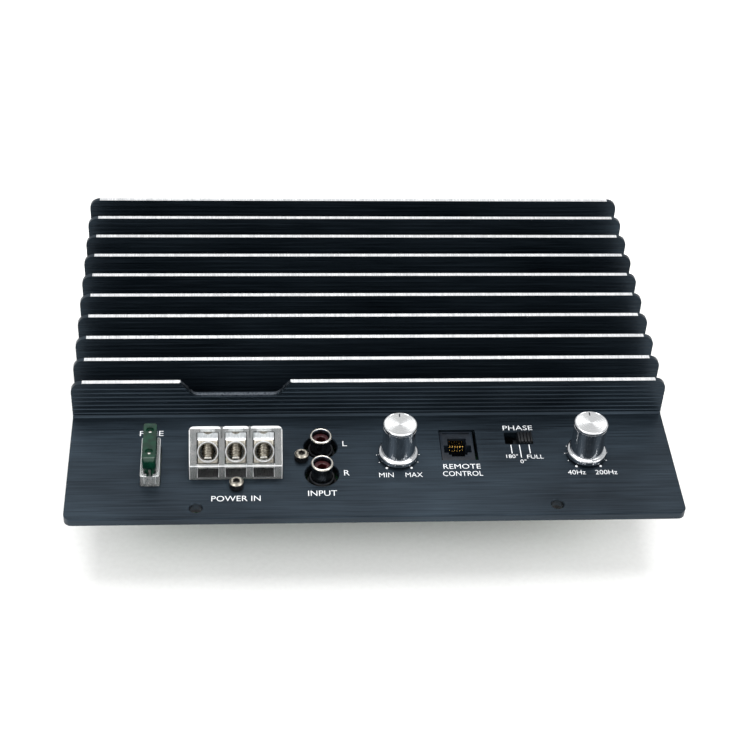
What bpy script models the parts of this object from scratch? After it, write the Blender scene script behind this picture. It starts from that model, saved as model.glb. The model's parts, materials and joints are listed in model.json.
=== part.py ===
"""Car amplifier with a finned top panel, made to be let into a subwoofer enclosure.

The panel and its fins are one extrusion. All connectors and controls come up through the front strip
of the panel, and the circuit board hangs underneath on stand-offs.

Every length below is in millimetres. X runs to the right from the centre line, Y runs back from the
panel's front edge and Z runs up from the panel's top face. The datum empty carries all of it, so in world
space the origin is under the middle of the panel, level with the lowest components.
"""

import math

import bmesh
import bpy
from mathutils import Matrix

MM = 0.001
GAP = 0.3

# Panel and fins
PANEL_WIDTH = 235.0
PANEL_THICK = 3.2
PANEL_CORNER = 3.0
FRONT_STRIP = 56.0
FIN_COUNT = 10
FIN_PITCH = 13.4
FIN_THICK = 1.8
FIN_HEIGHT = 17.5
FIN_CORNER = 4.5
REAR_FLANGE = 12.0
PANEL_DEPTH = FRONT_STRIP + (FIN_COUNT - 1) * FIN_PITCH + FIN_THICK + REAR_FLANGE
PANEL_UNDER = -PANEL_THICK
NOTCH_TOP_HALF = 22.6
NOTCH_FLOOR_HALF = 17.6
NOTCH_FLOOR = 10.8
NOTCH_CORNER = 4.0

# Mounting holes and gasket
MOUNT_X = 68.5
MOUNT_INSET = 5.5
MOUNT_RADIUS = 2.4
GASKET_INSET = 2.0
GASKET_WIDTH = 8.5
GASKET_THICK = 1.6

# Circuit board and its stand-offs
STANDOFF_LENGTH = 10.3
BOARD_TOP = PANEL_UNDER - STANDOFF_LENGTH
BOARD_THICK = 1.6
BOARD_UNDER = BOARD_TOP - BOARD_THICK
BOARD_HALF_WIDTH = 101.0
BOARD_FRONT = 13.4
BOARD_REAR = 172.0
STANDOFF_RADIUS = 2.75
STANDOFF_BORE = 1.8
PANEL_SCREWS = ((-53.3, 16.4), (-28.2, 31.2))
REAR_STANDOFFS = ((94.0, 18.0), (-93.0, 166.0), (93.0, 166.0))
STANDOFFS = PANEL_SCREWS + REAR_STANDOFFS

# Tall components on the underside, which the loose amplifier stands on
TALL = 24.0
LOWEST = BOARD_UNDER - GAP - TALL
CAPACITORS = ((-84.0, 62.0), (-84.0, 148.0))
CAPACITOR_RADIUS = 9.0
TRANSFORMER_AT = (70.0, 140.0)
TRANSFORMER_OUTER = 21.0
TRANSFORMER_INNER = 8.0
INDUCTOR_AT = (74.0, 66.0)
INDUCTOR_OUTER = 15.0
INDUCTOR_INNER = 5.5
SPEAKER_AT = (-20.0, 160.0)

# Three-way power terminal, its wire entries tipped back by 45 degrees
TERMINAL_X = -53.5
TERMINAL_WIDTH = 35.4
TERMINAL_PITCH = 10.6
TERMINAL_FRONT = 20.7
TERMINAL_REAR = 41.0
LIP_HEIGHT = 6.7
TERMINAL_TOP = 17.0
CREST_FLAT = 1.0
WINDOW_WIDTH = 8.4
CAGE_WIDTH = 7.8
CAGE_DEPTH = 9.0
CAGE_START = 1.2
CAGE_END = 12.9
CAGE_RECESS = 0.8
ENTRY_ALONG = 5.5
ENTRY_RADIUS = 3.2
CLAMP_SCREW_RADIUS = 2.4
CLAMP_TRAVEL = 4.0

# Fuse and holder
FUSE_X = -86.0
FUSE_Y = 28.0
HOLDER_WIDTH = 7.2
HOLDER_LENGTH = 21.2
HOLDER_TOP = 5.0
FUSE_HEAD = (5.1, 19.1, 6.2)
FUSE_BODY = (3.6, 17.4, 6.8)
FUSE_TOP = 13.6
BLADE_WIDTH = 5.2
BLADE_THICK = 0.65
BLADE_SPACING = 11.6
BLADE_END = -7.2

# RCA sockets
RCA_X = -20.6
RCA_LEFT_Y = 37.8
RCA_RIGHT_Y = 22.8
RCA_HOLE_RADIUS = 6.5
RCA_FOOT_RADIUS = 6.0
RCA_BARREL_RADIUS = 4.9
RCA_BARREL_TOP = -1.0
RCA_LIP_RADIUS = 4.35
RCA_LIP_HEIGHT = 1.3
RCA_SLEEVE_RADIUS = 3.95
RCA_SLEEVE_BORE = 3.45
RCA_SLEEVE_TOP = 6.2
INSULATOR_DEPTH = 2.2

# Modular socket for the remote control
JACK_LOW = (26.7, 30.0)
JACK_HIGH = (39.8, 46.5)
JACK_CUTOUT_LOW = (26.4, 29.7)
JACK_CUTOUT_HIGH = (40.9, 46.8)
JACK_FACE = -0.7
JACK_WALL = 1.15
JACK_DEPTH = 11.0

# Phase switch
SLOT_LOW = (52.3, 38.4)
SLOT_HIGH = (63.5, 45.0)
SLIDER_WIDTH = 5.6
SLIDER_TOP = 1.2
SWITCH_LOW = (49.5, 37.2)
SWITCH_HIGH = (66.3, 46.2)

# Knobs and potentiometers
GAIN_AT = (9.4, 32.5)
FILTER_AT = (83.5, 32.5)
KNOB_RADIUS = 6.5
KNOB_FLANGE = 7.8
KNOB_TOP = 17.0
SHAFT_RADIUS = 3.0
SHAFT_TOP = 11.0
SHAFT_HOLE = 3.7
POT_SIZE = (11.4, 12.4, 6.6)

# Power transistors, clamped to the underside of the panel
TRANSISTOR_XS = (-30.0, -10.0, 10.0, 30.0)
TRANSISTOR_Y = 97.0
BAR_SCREW_XS = (-20.0, 20.0)

FINE = 32
MEDIUM = 24
COARSE = 16


# ---------------------------------------------------------------- scene and helpers

for old in list(bpy.data.objects):
    bpy.data.objects.remove(old, do_unlink=True)

parts = bpy.data.collections.new("car_amplifier")
tools = bpy.data.collections.new("cutters_and_blanks")
bpy.context.scene.collection.children.link(parts)
bpy.context.scene.collection.children.link(tools)

datum = bpy.data.objects.new("panel_datum", None)
datum.location = (0.0, -PANEL_DEPTH / 2 * MM, -LOWEST * MM)
parts.objects.link(datum)


def finish(name, colour, roughness, metallic=0.0, alpha=1.0):
    material = bpy.data.materials.new(name)
    material.use_nodes = True
    shader = material.node_tree.nodes["Principled BSDF"]
    shader.inputs["Base Color"].default_value = (*colour, 1.0)
    shader.inputs["Roughness"].default_value = roughness
    shader.inputs["Metallic"].default_value = metallic
    shader.inputs["Alpha"].default_value = alpha
    return material


ANODISED = finish("slate_anodised_aluminium", (0.045, 0.060, 0.075), 0.45, 0.9)
NICKEL = finish("nickel_plate", (0.72, 0.71, 0.68), 0.25, 1.0)
STEEL = finish("zinc_plated_steel", (0.60, 0.61, 0.63), 0.35, 1.0)
BLACK_STEEL = finish("black_oxide_steel", (0.03, 0.03, 0.035), 0.4, 0.9)
CHROME = finish("satin_chrome", (0.75, 0.76, 0.78), 0.2, 1.0)
CLEAR = finish("clear_polycarbonate", (0.80, 0.84, 0.84), 0.15, 0.0, 0.45)
GREEN = finish("green_fuse_plastic", (0.02, 0.25, 0.14), 0.3)
BLACK = finish("black_moulding", (0.015, 0.017, 0.02), 0.45)
RED = finish("dark_red_insulator", (0.16, 0.01, 0.01), 0.4)
GREY = finish("grey_moulding", (0.16, 0.18, 0.22), 0.5)
BOARD = finish("green_circuit_board", (0.01, 0.10, 0.045), 0.4)
COPPER = finish("enamelled_copper", (0.55, 0.20, 0.07), 0.3, 0.9)
FOAM = finish("black_foam", (0.02, 0.02, 0.02), 0.9)
WHITE = finish("white_moulding", (0.75, 0.74, 0.70), 0.5)
SILICONE = finish("grey_thermal_pad", (0.35, 0.36, 0.38), 0.8)
SLEEVE = finish("black_capacitor_sleeve", (0.02, 0.02, 0.03), 0.3)


def add(name, mesh, material, at=(0, 0, 0), turn=(0, 0, 0)):
    """A part of the amplifier, at a place in panel coordinates."""
    obj = bpy.data.objects.new(name, mesh)
    parts.objects.link(obj)
    obj.parent = datum
    obj.location = [value * MM for value in at]
    obj.rotation_euler = [math.radians(value) for value in turn]
    if not mesh.materials:
        mesh.materials.append(material)
    return obj


def tool(name, mesh, at=(0, 0, 0), turn=(0, 0, 0)):
    """A cutter or a blank that a Boolean uses and that isn't a part itself."""
    obj = bpy.data.objects.new(name, mesh)
    tools.objects.link(obj)
    obj.parent = datum
    obj.location = [value * MM for value in at]
    obj.rotation_euler = [math.radians(value) for value in turn]
    obj.hide_render = True
    obj.display_type = "WIRE"
    return obj


def mesh_from(bm, name, smooth=False):
    mesh = bpy.data.meshes.new(name)
    bm.to_mesh(mesh)
    bm.free()
    if smooth:
        mesh.shade_smooth()
        mesh.set_sharp_from_angle(angle=math.radians(35))
    return mesh


def box(low, high, corner=0.0, axis=2, segments=3):
    """A block from its low to its high corner, with the edges along one axis rounded."""
    size = [b - a for a, b in zip(low, high)]
    centre = [(a + b) / 2 for a, b in zip(low, high)]
    bm = bmesh.new()
    place = Matrix.Translation([c * MM for c in centre]) @ Matrix.Diagonal([s * MM for s in size] + [1])
    bmesh.ops.create_cube(bm, size=1.0, matrix=place)
    if corner:
        along = [e for e in bm.edges if abs((e.verts[0].co - e.verts[1].co)[axis]) > 0.5 * size[axis] * MM]
        bmesh.ops.bevel(bm, geom=along, offset=corner * MM, segments=segments, profile=0.5, affect="EDGES")
    return mesh_from(bm, "block")


def round_bar(radius, low, high, sides=MEDIUM, end_bevel=0.0):
    """A cylinder along Z, or a hexagonal bar with sides=6."""
    bm = bmesh.new()
    middle = Matrix.Translation((0, 0, (low + high) / 2 * MM))
    bmesh.ops.create_cone(
        bm,
        cap_ends=True,
        segments=sides,
        radius1=radius * MM,
        radius2=radius * MM,
        depth=(high - low) * MM,
        matrix=middle,
    )
    if end_bevel:
        rims = [e for e in bm.edges if abs(e.verts[0].co.z - e.verts[1].co.z) < 1e-6]
        bmesh.ops.bevel(bm, geom=rims, offset=end_bevel * MM, segments=1, profile=0.5, affect="EDGES")
    return mesh_from(bm, "bar", smooth=sides > 8)


def turned(name, profile, material, at=(0, 0, 0), turn=(0, 0, 0), steps=MEDIUM):
    """A lathe-turned piece. The profile of (radius, height) points runs down its outer side."""
    bm = bmesh.new()
    points = [bm.verts.new((radius * MM, 0, height * MM)) for radius, height in profile]
    for first, second in zip(points, points[1:]):
        bm.edges.new((first, second))
    if profile[0][0] > 0:
        bm.edges.new((points[-1], points[0]))
    obj = add(name, mesh_from(bm, name), material, at, turn)
    screw = obj.modifiers.new("lathe", "SCREW")
    screw.steps = steps
    screw.render_steps = steps
    screw.use_merge_vertices = True
    screw.merge_threshold = 0.00001
    screw.use_smooth_shade = True
    return obj


def outline(points, thick):
    """The mesh of a flat outline, extruded evenly to both sides of its own XY plane."""
    curve = bpy.data.curves.new("outline", "CURVE")
    curve.dimensions = "2D"
    curve.fill_mode = "BOTH"
    curve.extrude = thick / 2 * MM
    spline = curve.splines.new("POLY")
    spline.points.add(len(points) - 1)
    for slot, (x, y) in zip(spline.points, points):
        slot.co = (x * MM, y * MM, 0, 1)
    spline.use_cyclic_u = True
    guide = bpy.data.objects.new("outline", curve)
    tools.objects.link(guide)
    graph = bpy.context.evaluated_depsgraph_get()
    mesh = bpy.data.meshes.new_from_object(guide.evaluated_get(graph))
    bpy.data.objects.remove(guide, do_unlink=True)
    bm = bmesh.new()
    bm.from_mesh(mesh)
    bmesh.ops.remove_doubles(bm, verts=bm.verts, dist=0.000001)
    bmesh.ops.recalc_face_normals(bm, faces=bm.faces)
    bm.to_mesh(mesh)
    bm.free()
    mesh.materials.clear()
    return mesh


def arc(centre, radius, start, end, steps=4):
    """Points round a circle from one angle to another, in degrees."""
    angles = [math.radians(start + (end - start) * i / steps) for i in range(steps + 1)]
    return [(centre[0] + radius * math.cos(a), centre[1] + radius * math.sin(a)) for a in angles]


def boolean(target, other, operation):
    modifier = target.modifiers.new(other.name, "BOOLEAN")
    modifier.operation = operation
    modifier.solver = "EXACT"
    modifier.object = other


def cut(target, name, mesh, at=(0, 0, 0), turn=(0, 0, 0)):
    boolean(target, tool(name, mesh, at, turn), "DIFFERENCE")


def join(target, name, mesh, at=(0, 0, 0), turn=(0, 0, 0)):
    boolean(target, tool(name, mesh, at, turn), "UNION")


def settled_mesh(obj, name):
    """The mesh that an object's modifiers make, for copies to share. The object itself is removed."""
    bpy.context.view_layer.update()
    graph = bpy.context.evaluated_depsgraph_get()
    mesh = bpy.data.meshes.new_from_object(obj.evaluated_get(graph))
    mesh.name = name
    bpy.data.objects.remove(obj, do_unlink=True)
    return mesh


# ---------------------------------------------------------------- panel, fins and gasket


def make_heatsink():
    """The extruded panel with its ten cross fins and every hole through the front strip."""
    half = PANEL_WIDTH / 2
    panel = box((-half, 0, PANEL_UNDER), (half, PANEL_DEPTH, 0), PANEL_CORNER, axis=2)
    heatsink = add("heatsink", panel, ANODISED)
    foot = -PANEL_THICK / 2
    top = FIN_HEIGHT - FIN_CORNER
    right_corner = arc((half - FIN_CORNER, top), FIN_CORNER, 0, 90)
    left_corner = arc((-half + FIN_CORNER, top), FIN_CORNER, 90, 180)
    fin_mesh = outline([(-half, foot), (half, foot)] + right_corner + left_corner, FIN_THICK)
    for i in range(FIN_COUNT):
        middle = FRONT_STRIP + i * FIN_PITCH + FIN_THICK / 2
        join(heatsink, f"fin_{i + 1}", fin_mesh, (0, middle, 0), (90, 0, 0))
    cut_notch(heatsink)
    cut_panel_holes(heatsink)
    return heatsink


def cut_notch(heatsink):
    """The sloped notch in the first fin, behind the power terminal."""
    floor_right = arc((NOTCH_FLOOR_HALF - NOTCH_CORNER, NOTCH_FLOOR + NOTCH_CORNER), NOTCH_CORNER, -90, -20)
    floor_left = arc((-NOTCH_FLOOR_HALF + NOTCH_CORNER, NOTCH_FLOOR + NOTCH_CORNER), NOTCH_CORNER, -160, -90)
    above = FIN_HEIGHT + 2
    rim = [(NOTCH_TOP_HALF + 1, above), (-NOTCH_TOP_HALF - 1, above)]
    notch = outline(floor_left + floor_right + rim, FIN_THICK + 4)
    cut(heatsink, "fin_notch", notch, (TERMINAL_X, FRONT_STRIP + FIN_THICK / 2, 0), (90, 0, 0))


def cut_panel_holes(heatsink):
    below = PANEL_UNDER - 1
    over = 1.0
    terminal_half = TERMINAL_WIDTH / 2 + GAP
    terminal_low = (TERMINAL_X - terminal_half, TERMINAL_FRONT - GAP, below)
    terminal_high = (TERMINAL_X + terminal_half, TERMINAL_REAR + GAP, over)
    cut(heatsink, "terminal_cutout", box(terminal_low, terminal_high, 0.8))
    holder_x = HOLDER_WIDTH / 2 + GAP
    holder_y = HOLDER_LENGTH / 2 + GAP
    holder_low = (FUSE_X - holder_x, FUSE_Y - holder_y, below)
    holder_high = (FUSE_X + holder_x, FUSE_Y + holder_y, over)
    cut(heatsink, "fuse_cutout", box(holder_low, holder_high, 0.8))
    cut(heatsink, "jack_cutout", box((*JACK_CUTOUT_LOW, below), (*JACK_CUTOUT_HIGH, over), 0.3))
    cut(heatsink, "switch_slot", box((*SLOT_LOW, below), (*SLOT_HIGH, over), 0.4))
    for x, y in ((RCA_X, RCA_LEFT_Y), (RCA_X, RCA_RIGHT_Y)):
        cut(heatsink, "rca_hole", round_bar(RCA_HOLE_RADIUS, below, over, FINE), (x, y, 0))
    for x, y in (GAIN_AT, FILTER_AT):
        cut(heatsink, "shaft_hole", round_bar(SHAFT_HOLE, below, over, COARSE), (x, y, 0))
    for x, y in PANEL_SCREWS:
        cut(heatsink, "panel_screw_hole", round_bar(STANDOFF_BORE, below, over, COARSE), (x, y, 0))
    for x, y in mount_holes():
        cut(heatsink, "mounting_hole", round_bar(MOUNT_RADIUS, below, over, MEDIUM), (x, y, 0))
    for x in BAR_SCREW_XS:
        hole = round_bar(STANDOFF_BORE, below, PANEL_UNDER + 2, COARSE)
        cut(heatsink, "clamp_bar_hole", hole, (x, TRANSISTOR_Y, 0))


def mount_holes():
    rows = (MOUNT_INSET, PANEL_DEPTH - MOUNT_INSET)
    return [(x, y) for x in (-MOUNT_X, MOUNT_X) for y in rows]


def make_gasket():
    """The foam frame that seals the panel against the enclosure."""
    half = PANEL_WIDTH / 2 - GASKET_INSET
    top = PANEL_UNDER - GAP
    bottom = top - GASKET_THICK
    gasket = add("gasket", box((-half, GASKET_INSET, bottom), (half, PANEL_DEPTH - GASKET_INSET, top)), FOAM)
    inner = half - GASKET_WIDTH
    near = GASKET_INSET + GASKET_WIDTH
    cut(gasket, "gasket_window", box((-inner, near, bottom - 1), (inner, PANEL_DEPTH - near, top + 1), 6.0))
    for x, y in mount_holes():
        cut(gasket, "gasket_hole", round_bar(MOUNT_RADIUS + GAP, bottom - 1, top + 1, COARSE), (x, y, 0))


# ---------------------------------------------------------------- circuit board and its fixings


def make_board():
    low = (-BOARD_HALF_WIDTH, BOARD_FRONT, BOARD_UNDER)
    high = (BOARD_HALF_WIDTH, BOARD_REAR, BOARD_TOP)
    board = add("circuit_board", box(low, high, 2.0), BOARD)
    for x, y in STANDOFFS:
        hole = round_bar(STANDOFF_BORE, BOARD_UNDER - 1, BOARD_TOP + 1, COARSE)
        cut(board, "board_hole", hole, (x, y, 0))


def make_standoffs():
    """Round spacers, bored right through for a screw at each end."""
    top = PANEL_UNDER - GAP
    bottom = BOARD_TOP + GAP
    wall = [(STANDOFF_RADIUS, top), (STANDOFF_RADIUS, bottom), (STANDOFF_BORE, bottom), (STANDOFF_BORE, top)]
    for i, (x, y) in enumerate(STANDOFFS, 1):
        turned(f"standoff_{i}", wall, STEEL, (x, y, 0), steps=COARSE)


def cap_screw_mesh(name, head_radius, head_height, shank_radius, shank_length):
    """A socket-head cap screw, head up, with its head's underside at height 0."""
    blank = add(name, round_bar(head_radius, 0, head_height, MEDIUM, 0.3), BLACK_STEEL)
    join(blank, name + "_shank", round_bar(shank_radius, -shank_length, head_height / 2, COARSE))
    cut(blank, name + "_socket", round_bar(head_radius * 0.52, head_height * 0.45, head_height + 1, 6))
    return settled_mesh(blank, name)


def make_panel_screws():
    mesh = cap_screw_mesh("panel_screw", 2.7, 3.0, 1.5, 7.5)
    for i, (x, y) in enumerate(PANEL_SCREWS, 1):
        add(f"panel_screw_{i}", mesh, BLACK_STEEL, (x, y, GAP))


def pan_screw_profile(head_radius, head_height, shank_radius, shank_length):
    """Half section of a pan-head screw, head up, with its head's underside at height 0."""
    dome = [(0, head_height), (head_radius * 0.7, head_height), (head_radius, head_height * 0.5)]
    under = [(head_radius, 0), (shank_radius, 0), (shank_radius, -shank_length), (0, -shank_length)]
    return dome + under


def make_board_screws():
    profile = pan_screw_profile(2.7, 1.7, 1.5, 4.4)
    for i, (x, y) in enumerate(STANDOFFS, 1):
        at = (x, y, BOARD_UNDER - GAP)
        turned(f"board_screw_{i}", profile, STEEL, at, turn=(180, 0, 0), steps=COARSE)


# ---------------------------------------------------------------- power terminal

SLANT = math.sqrt(0.5)


def on_slant(along, depth):
    """(y, z) of a point that far up the terminal's sloping face and that deep behind it."""
    y = TERMINAL_FRONT + (along + depth) * SLANT
    z = LIP_HEIGHT + (along - depth) * SLANT
    return y, z


def cell_xs():
    return [TERMINAL_X + TERMINAL_PITCH * i for i in (-1, 0, 1)]


def make_terminal_housing():
    """Clear housing: an upright lip, a face sloping back at 45 degrees, and a screw face behind."""
    floor = BOARD_TOP + GAP
    rise = TERMINAL_TOP - LIP_HEIGHT
    crest = TERMINAL_FRONT + rise
    shoulder = TERMINAL_TOP - (TERMINAL_REAR - crest - CREST_FLAT)
    profile = [
        (TERMINAL_FRONT, floor),
        (TERMINAL_REAR, floor),
        (TERMINAL_REAR, shoulder),
        (crest + CREST_FLAT, TERMINAL_TOP),
        (crest, TERMINAL_TOP),
        (TERMINAL_FRONT, LIP_HEIGHT),
    ]
    block = outline(profile, TERMINAL_WIDTH)
    housing = add("terminal_housing", block, CLEAR, (TERMINAL_X, 0, 0), (90, 0, 90))
    pocket = box(
        (-WINDOW_WIDTH / 2, CAGE_START - GAP, -CAGE_RECESS - CAGE_DEPTH - GAP),
        (WINDOW_WIDTH / 2, CAGE_END + GAP, 2.0),
    )
    leg_window = box(
        (-WINDOW_WIDTH / 2, TERMINAL_FRONT - 1, 0.9),
        (WINDOW_WIDTH / 2, TERMINAL_FRONT + 5.5, LIP_HEIGHT - 1.0),
    )
    screw_way = round_bar(CLAMP_SCREW_RADIUS + 0.5, 0, 16.0, COARSE)
    middle_y, middle_z = on_slant(CAGE_END, CAGE_RECESS + CAGE_DEPTH / 2)
    for i, x in enumerate(cell_xs(), 1):
        cut(housing, f"cage_pocket_{i}", pocket, (x, TERMINAL_FRONT, LIP_HEIGHT), (45, 0, 0))
        cut(housing, f"leg_window_{i}", leg_window, (x, 0, 0))
        cut(housing, f"screw_way_{i}", screw_way, (x, middle_y, middle_z), (-45, 0, 0))


def make_wire_cages():
    """Plated blocks with a wire entry facing up and forward, and a tapped hole for the clamp screw."""
    half = CAGE_WIDTH / 2
    low = (-half, CAGE_START, -CAGE_RECESS - CAGE_DEPTH)
    high = (half, CAGE_END, -CAGE_RECESS)
    blank = add("cage_blank", box(low, high, 0.5, axis=1, segments=2), NICKEL)
    entry = round_bar(ENTRY_RADIUS, -CAGE_RECESS - CAGE_DEPTH - 1, 1, MEDIUM)
    cut(blank, "wire_entry", entry, (0, ENTRY_ALONG, 0))
    tapped = round_bar(CLAMP_SCREW_RADIUS + 0.12, 0, CAGE_END, COARSE)
    cut(blank, "tapped_hole", tapped, (0, ENTRY_ALONG, -CAGE_RECESS - CAGE_DEPTH / 2), (-90, 0, 0))
    mesh = settled_mesh(blank, "wire_cage")
    for i, x in enumerate(cell_xs(), 1):
        add(f"wire_cage_{i}", mesh, NICKEL, (x, TERMINAL_FRONT, LIP_HEIGHT), (45, 0, 0))


def make_clamp_screws():
    """Headless hexagon-socket screws with a pressure pad under each tip, drawn fully tightened."""
    screw_low = ENTRY_ALONG - ENTRY_RADIUS + 1.4
    pad_low = ENTRY_ALONG - ENTRY_RADIUS + 0.6
    length = CAGE_END - screw_low + 0.6
    blank = add("screw_blank", round_bar(CLAMP_SCREW_RADIUS, 0, length, COARSE, 0.3), STEEL)
    cut(blank, "screw_socket", round_bar(1.45, length - 3.0, length + 1, 6))
    screw_mesh = settled_mesh(blank, "clamp_screw")
    pad_mesh = box((-1.5, -2.3, 0), (1.5, 2.3, 0.7), 0.4, axis=2, segments=2)
    depth = CAGE_RECESS + CAGE_DEPTH / 2
    for i, x in enumerate(cell_xs(), 1):
        add(f"clamp_screw_{i}", screw_mesh, STEEL, (x, *on_slant(screw_low, depth)), (-45, 0, 0))
        add(f"pressure_pad_{i}", pad_mesh, STEEL, (x, *on_slant(pad_low, depth)), (-45, 0, 0))


# ---------------------------------------------------------------- fuse


def make_fuse_holder():
    """Clear holder, open on top, with a pocket for each blade's clip."""
    at = (FUSE_X, FUSE_Y, 0)
    x, y = HOLDER_WIDTH / 2, HOLDER_LENGTH / 2
    block = box((-x, -y, BOARD_TOP + GAP), (x, y, HOLDER_TOP), 0.8)
    holder = add("fuse_holder", block, CLEAR, at)
    seat_x, seat_y = FUSE_BODY[0] / 2 + 0.5, FUSE_BODY[1] / 2 + 0.5
    seat_floor = FUSE_TOP - FUSE_HEAD[2] - FUSE_BODY[2] - GAP
    seat = box((-seat_x, -seat_y, seat_floor), (seat_x, seat_y, HOLDER_TOP + 1))
    cut(holder, "fuse_seat", seat, at)
    for side in (-1, 1):
        pocket = box((-1.6, -3.2, -11.0), (1.6, 3.2, seat_floor + 1))
        cut(holder, "clip_pocket", pocket, (FUSE_X, FUSE_Y + side * BLADE_SPACING / 2, 0))


def make_fuse_clips():
    """Two forked spring clips, each gripping one blade."""
    bottom, top = -10.7, -1.5
    blank = add("clip_blank", box((-1.2, -2.9, bottom), (1.2, 2.9, top)), NICKEL)
    cut(blank, "blade_slot", box((-0.5, -4, BLADE_END - 0.6), (0.5, 4, top + 1)))
    mesh = settled_mesh(blank, "fuse_clip")
    for i, side in enumerate((-1, 1), 1):
        add(f"fuse_clip_{i}", mesh, NICKEL, (FUSE_X, FUSE_Y + side * BLADE_SPACING / 2, 0))


def make_fuse():
    """The moulded body with a wide head over a slimmer foot, and the one-piece blade element in it."""
    head_x, head_y, head_z = (FUSE_HEAD[0] / 2, FUSE_HEAD[1] / 2, FUSE_HEAD[2])
    foot_x, foot_y, foot_z = (FUSE_BODY[0] / 2, FUSE_BODY[1] / 2, FUSE_BODY[2])
    neck = FUSE_TOP - head_z
    foot = neck - foot_z
    at = (FUSE_X, FUSE_Y, 0)
    body = add("fuse_body", box((-head_x, -head_y, neck), (head_x, head_y, FUSE_TOP), 0.8), GREEN, at)
    join(body, "fuse_foot", box((-foot_x, -foot_y, foot), (foot_x, foot_y, neck + 1)), at)
    reach = BLADE_SPACING / 2 + BLADE_WIDTH / 2
    cavity_top = FUSE_TOP - 1.6
    cut(body, "element_slot", box((-0.6, -reach - GAP, foot - 1), (0.6, reach + GAP, cavity_top)), at)
    for side in (-1, 1):
        probe = round_bar(0.8, cavity_top - 1, FUSE_TOP + 1, 12)
        cut(body, "probe_hole", probe, (FUSE_X, FUSE_Y + side * BLADE_SPACING / 2, 0))
    inner = BLADE_SPACING / 2 - BLADE_WIDTH / 2
    shoulder = cavity_top - GAP
    link = foot + 4.0
    tip = BLADE_END + 1
    left = [(-reach, tip), (-reach + 1, BLADE_END), (-inner - 1, BLADE_END), (-inner, tip)]
    bridge = [(-inner, link), (0, link + 1.5), (inner, link)]
    right = [(inner, tip), (inner + 1, BLADE_END), (reach - 1, BLADE_END), (reach, tip)]
    top = [(reach, shoulder), (inner, shoulder), (inner, link + 2), (0, link + 3.5)]
    over = [(-inner, link + 2), (-inner, shoulder), (-reach, shoulder)]
    element = outline(left + bridge + right + top + over, BLADE_THICK)
    add("fuse_element", element, NICKEL, at, (90, 0, 90))


# ---------------------------------------------------------------- sockets and switch


def make_rca_socket(side, y):
    """Black base with a short barrel in the panel's hole, tall plated sleeve, and the insulator inside."""
    floor = BOARD_TOP + GAP
    step = PANEL_UNDER - 1.2
    bore = RCA_SLEEVE_RADIUS + GAP
    inner_step = floor + 3
    base = [
        (RCA_BARREL_RADIUS, RCA_BARREL_TOP - 0.2),
        (RCA_BARREL_RADIUS, step),
        (RCA_FOOT_RADIUS, step),
        (RCA_FOOT_RADIUS, floor),
        (bore - 1.2, floor),
        (bore - 1.2, inner_step),
        (bore, inner_step),
        (bore, RCA_BARREL_TOP),
        (RCA_BARREL_RADIUS - 0.2, RCA_BARREL_TOP),
    ]
    turned(f"rca_base_{side}", base, BLACK, (RCA_X, y, 0), steps=FINE)
    sleeve_foot = inner_step + GAP
    lip_under = RCA_SLEEVE_TOP - RCA_LIP_HEIGHT
    sleeve = [
        (RCA_LIP_RADIUS, RCA_SLEEVE_TOP - 0.4),
        (RCA_LIP_RADIUS, lip_under),
        (RCA_SLEEVE_RADIUS, lip_under),
        (RCA_SLEEVE_RADIUS, sleeve_foot),
        (RCA_SLEEVE_BORE, sleeve_foot),
        (RCA_SLEEVE_BORE, RCA_SLEEVE_TOP),
        (RCA_LIP_RADIUS - 0.4, RCA_SLEEVE_TOP),
    ]
    turned(f"rca_sleeve_{side}", sleeve, NICKEL, (RCA_X, y, 0), steps=FINE)
    outer = RCA_SLEEVE_BORE - GAP / 2
    top = RCA_SLEEVE_TOP - INSULATOR_DEPTH
    insulator = [(outer, top), (outer, sleeve_foot), (1.65, sleeve_foot), (1.65, top)]
    turned(f"rca_insulator_{side}", insulator, RED, (RCA_X, y, 0), steps=MEDIUM)


def make_remote_jack():
    """Six-way modular socket facing up, with stepped front corners for the plug's latch."""
    low = (*JACK_LOW, BOARD_TOP + GAP)
    high = (*JACK_HIGH, JACK_FACE)
    jack = add("remote_jack", box(low, high), GREY)
    centre = (JACK_LOW[0] + JACK_HIGH[0]) / 2
    half = (JACK_HIGH[0] - JACK_LOW[0]) / 2 - JACK_WALL
    back = 43.2
    for i, (wide, front) in enumerate(((half, 37.0), (3.9, 35.2), (2.5, 33.6))):
        floor = JACK_FACE - JACK_DEPTH + i * 0.2
        mouth = box((centre - wide, front, floor), (centre + wide, back - i * 0.2, JACK_FACE + 1))
        cut(jack, f"plug_mouth_{i}", mouth)
    slot = box((centre - half, back + 1.2, JACK_FACE - 4), (centre + half, JACK_HIGH[1] - 0.9, JACK_FACE + 1))
    cut(jack, "contact_slot", slot)
    comb = box((-2.9, 0, JACK_FACE - 4.2), (2.9, 2.4, JACK_FACE + 1))
    cut(jack, "contact_comb", comb, (centre, back - 0.6, 0))


def make_jack_contacts():
    """The insert that carries the six spring wires: a bar in the back slot with six fingers."""
    centre = (JACK_LOW[0] + JACK_HIGH[0]) / 2
    top = JACK_FACE - 1.4
    bar = box((centre - 2.6, 44.75, JACK_FACE - 3.6), (centre + 2.6, 45.25, top))
    insert = add("jack_contacts", bar, NICKEL)
    for i in range(6):
        x = centre + (i - 2.5) * 1.02
        wire = box((x - 0.23, 40.8, top - 0.9), (x + 0.23, 44.9, top - 0.4))
        join(insert, f"contact_wire_{i}", wire)


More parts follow.
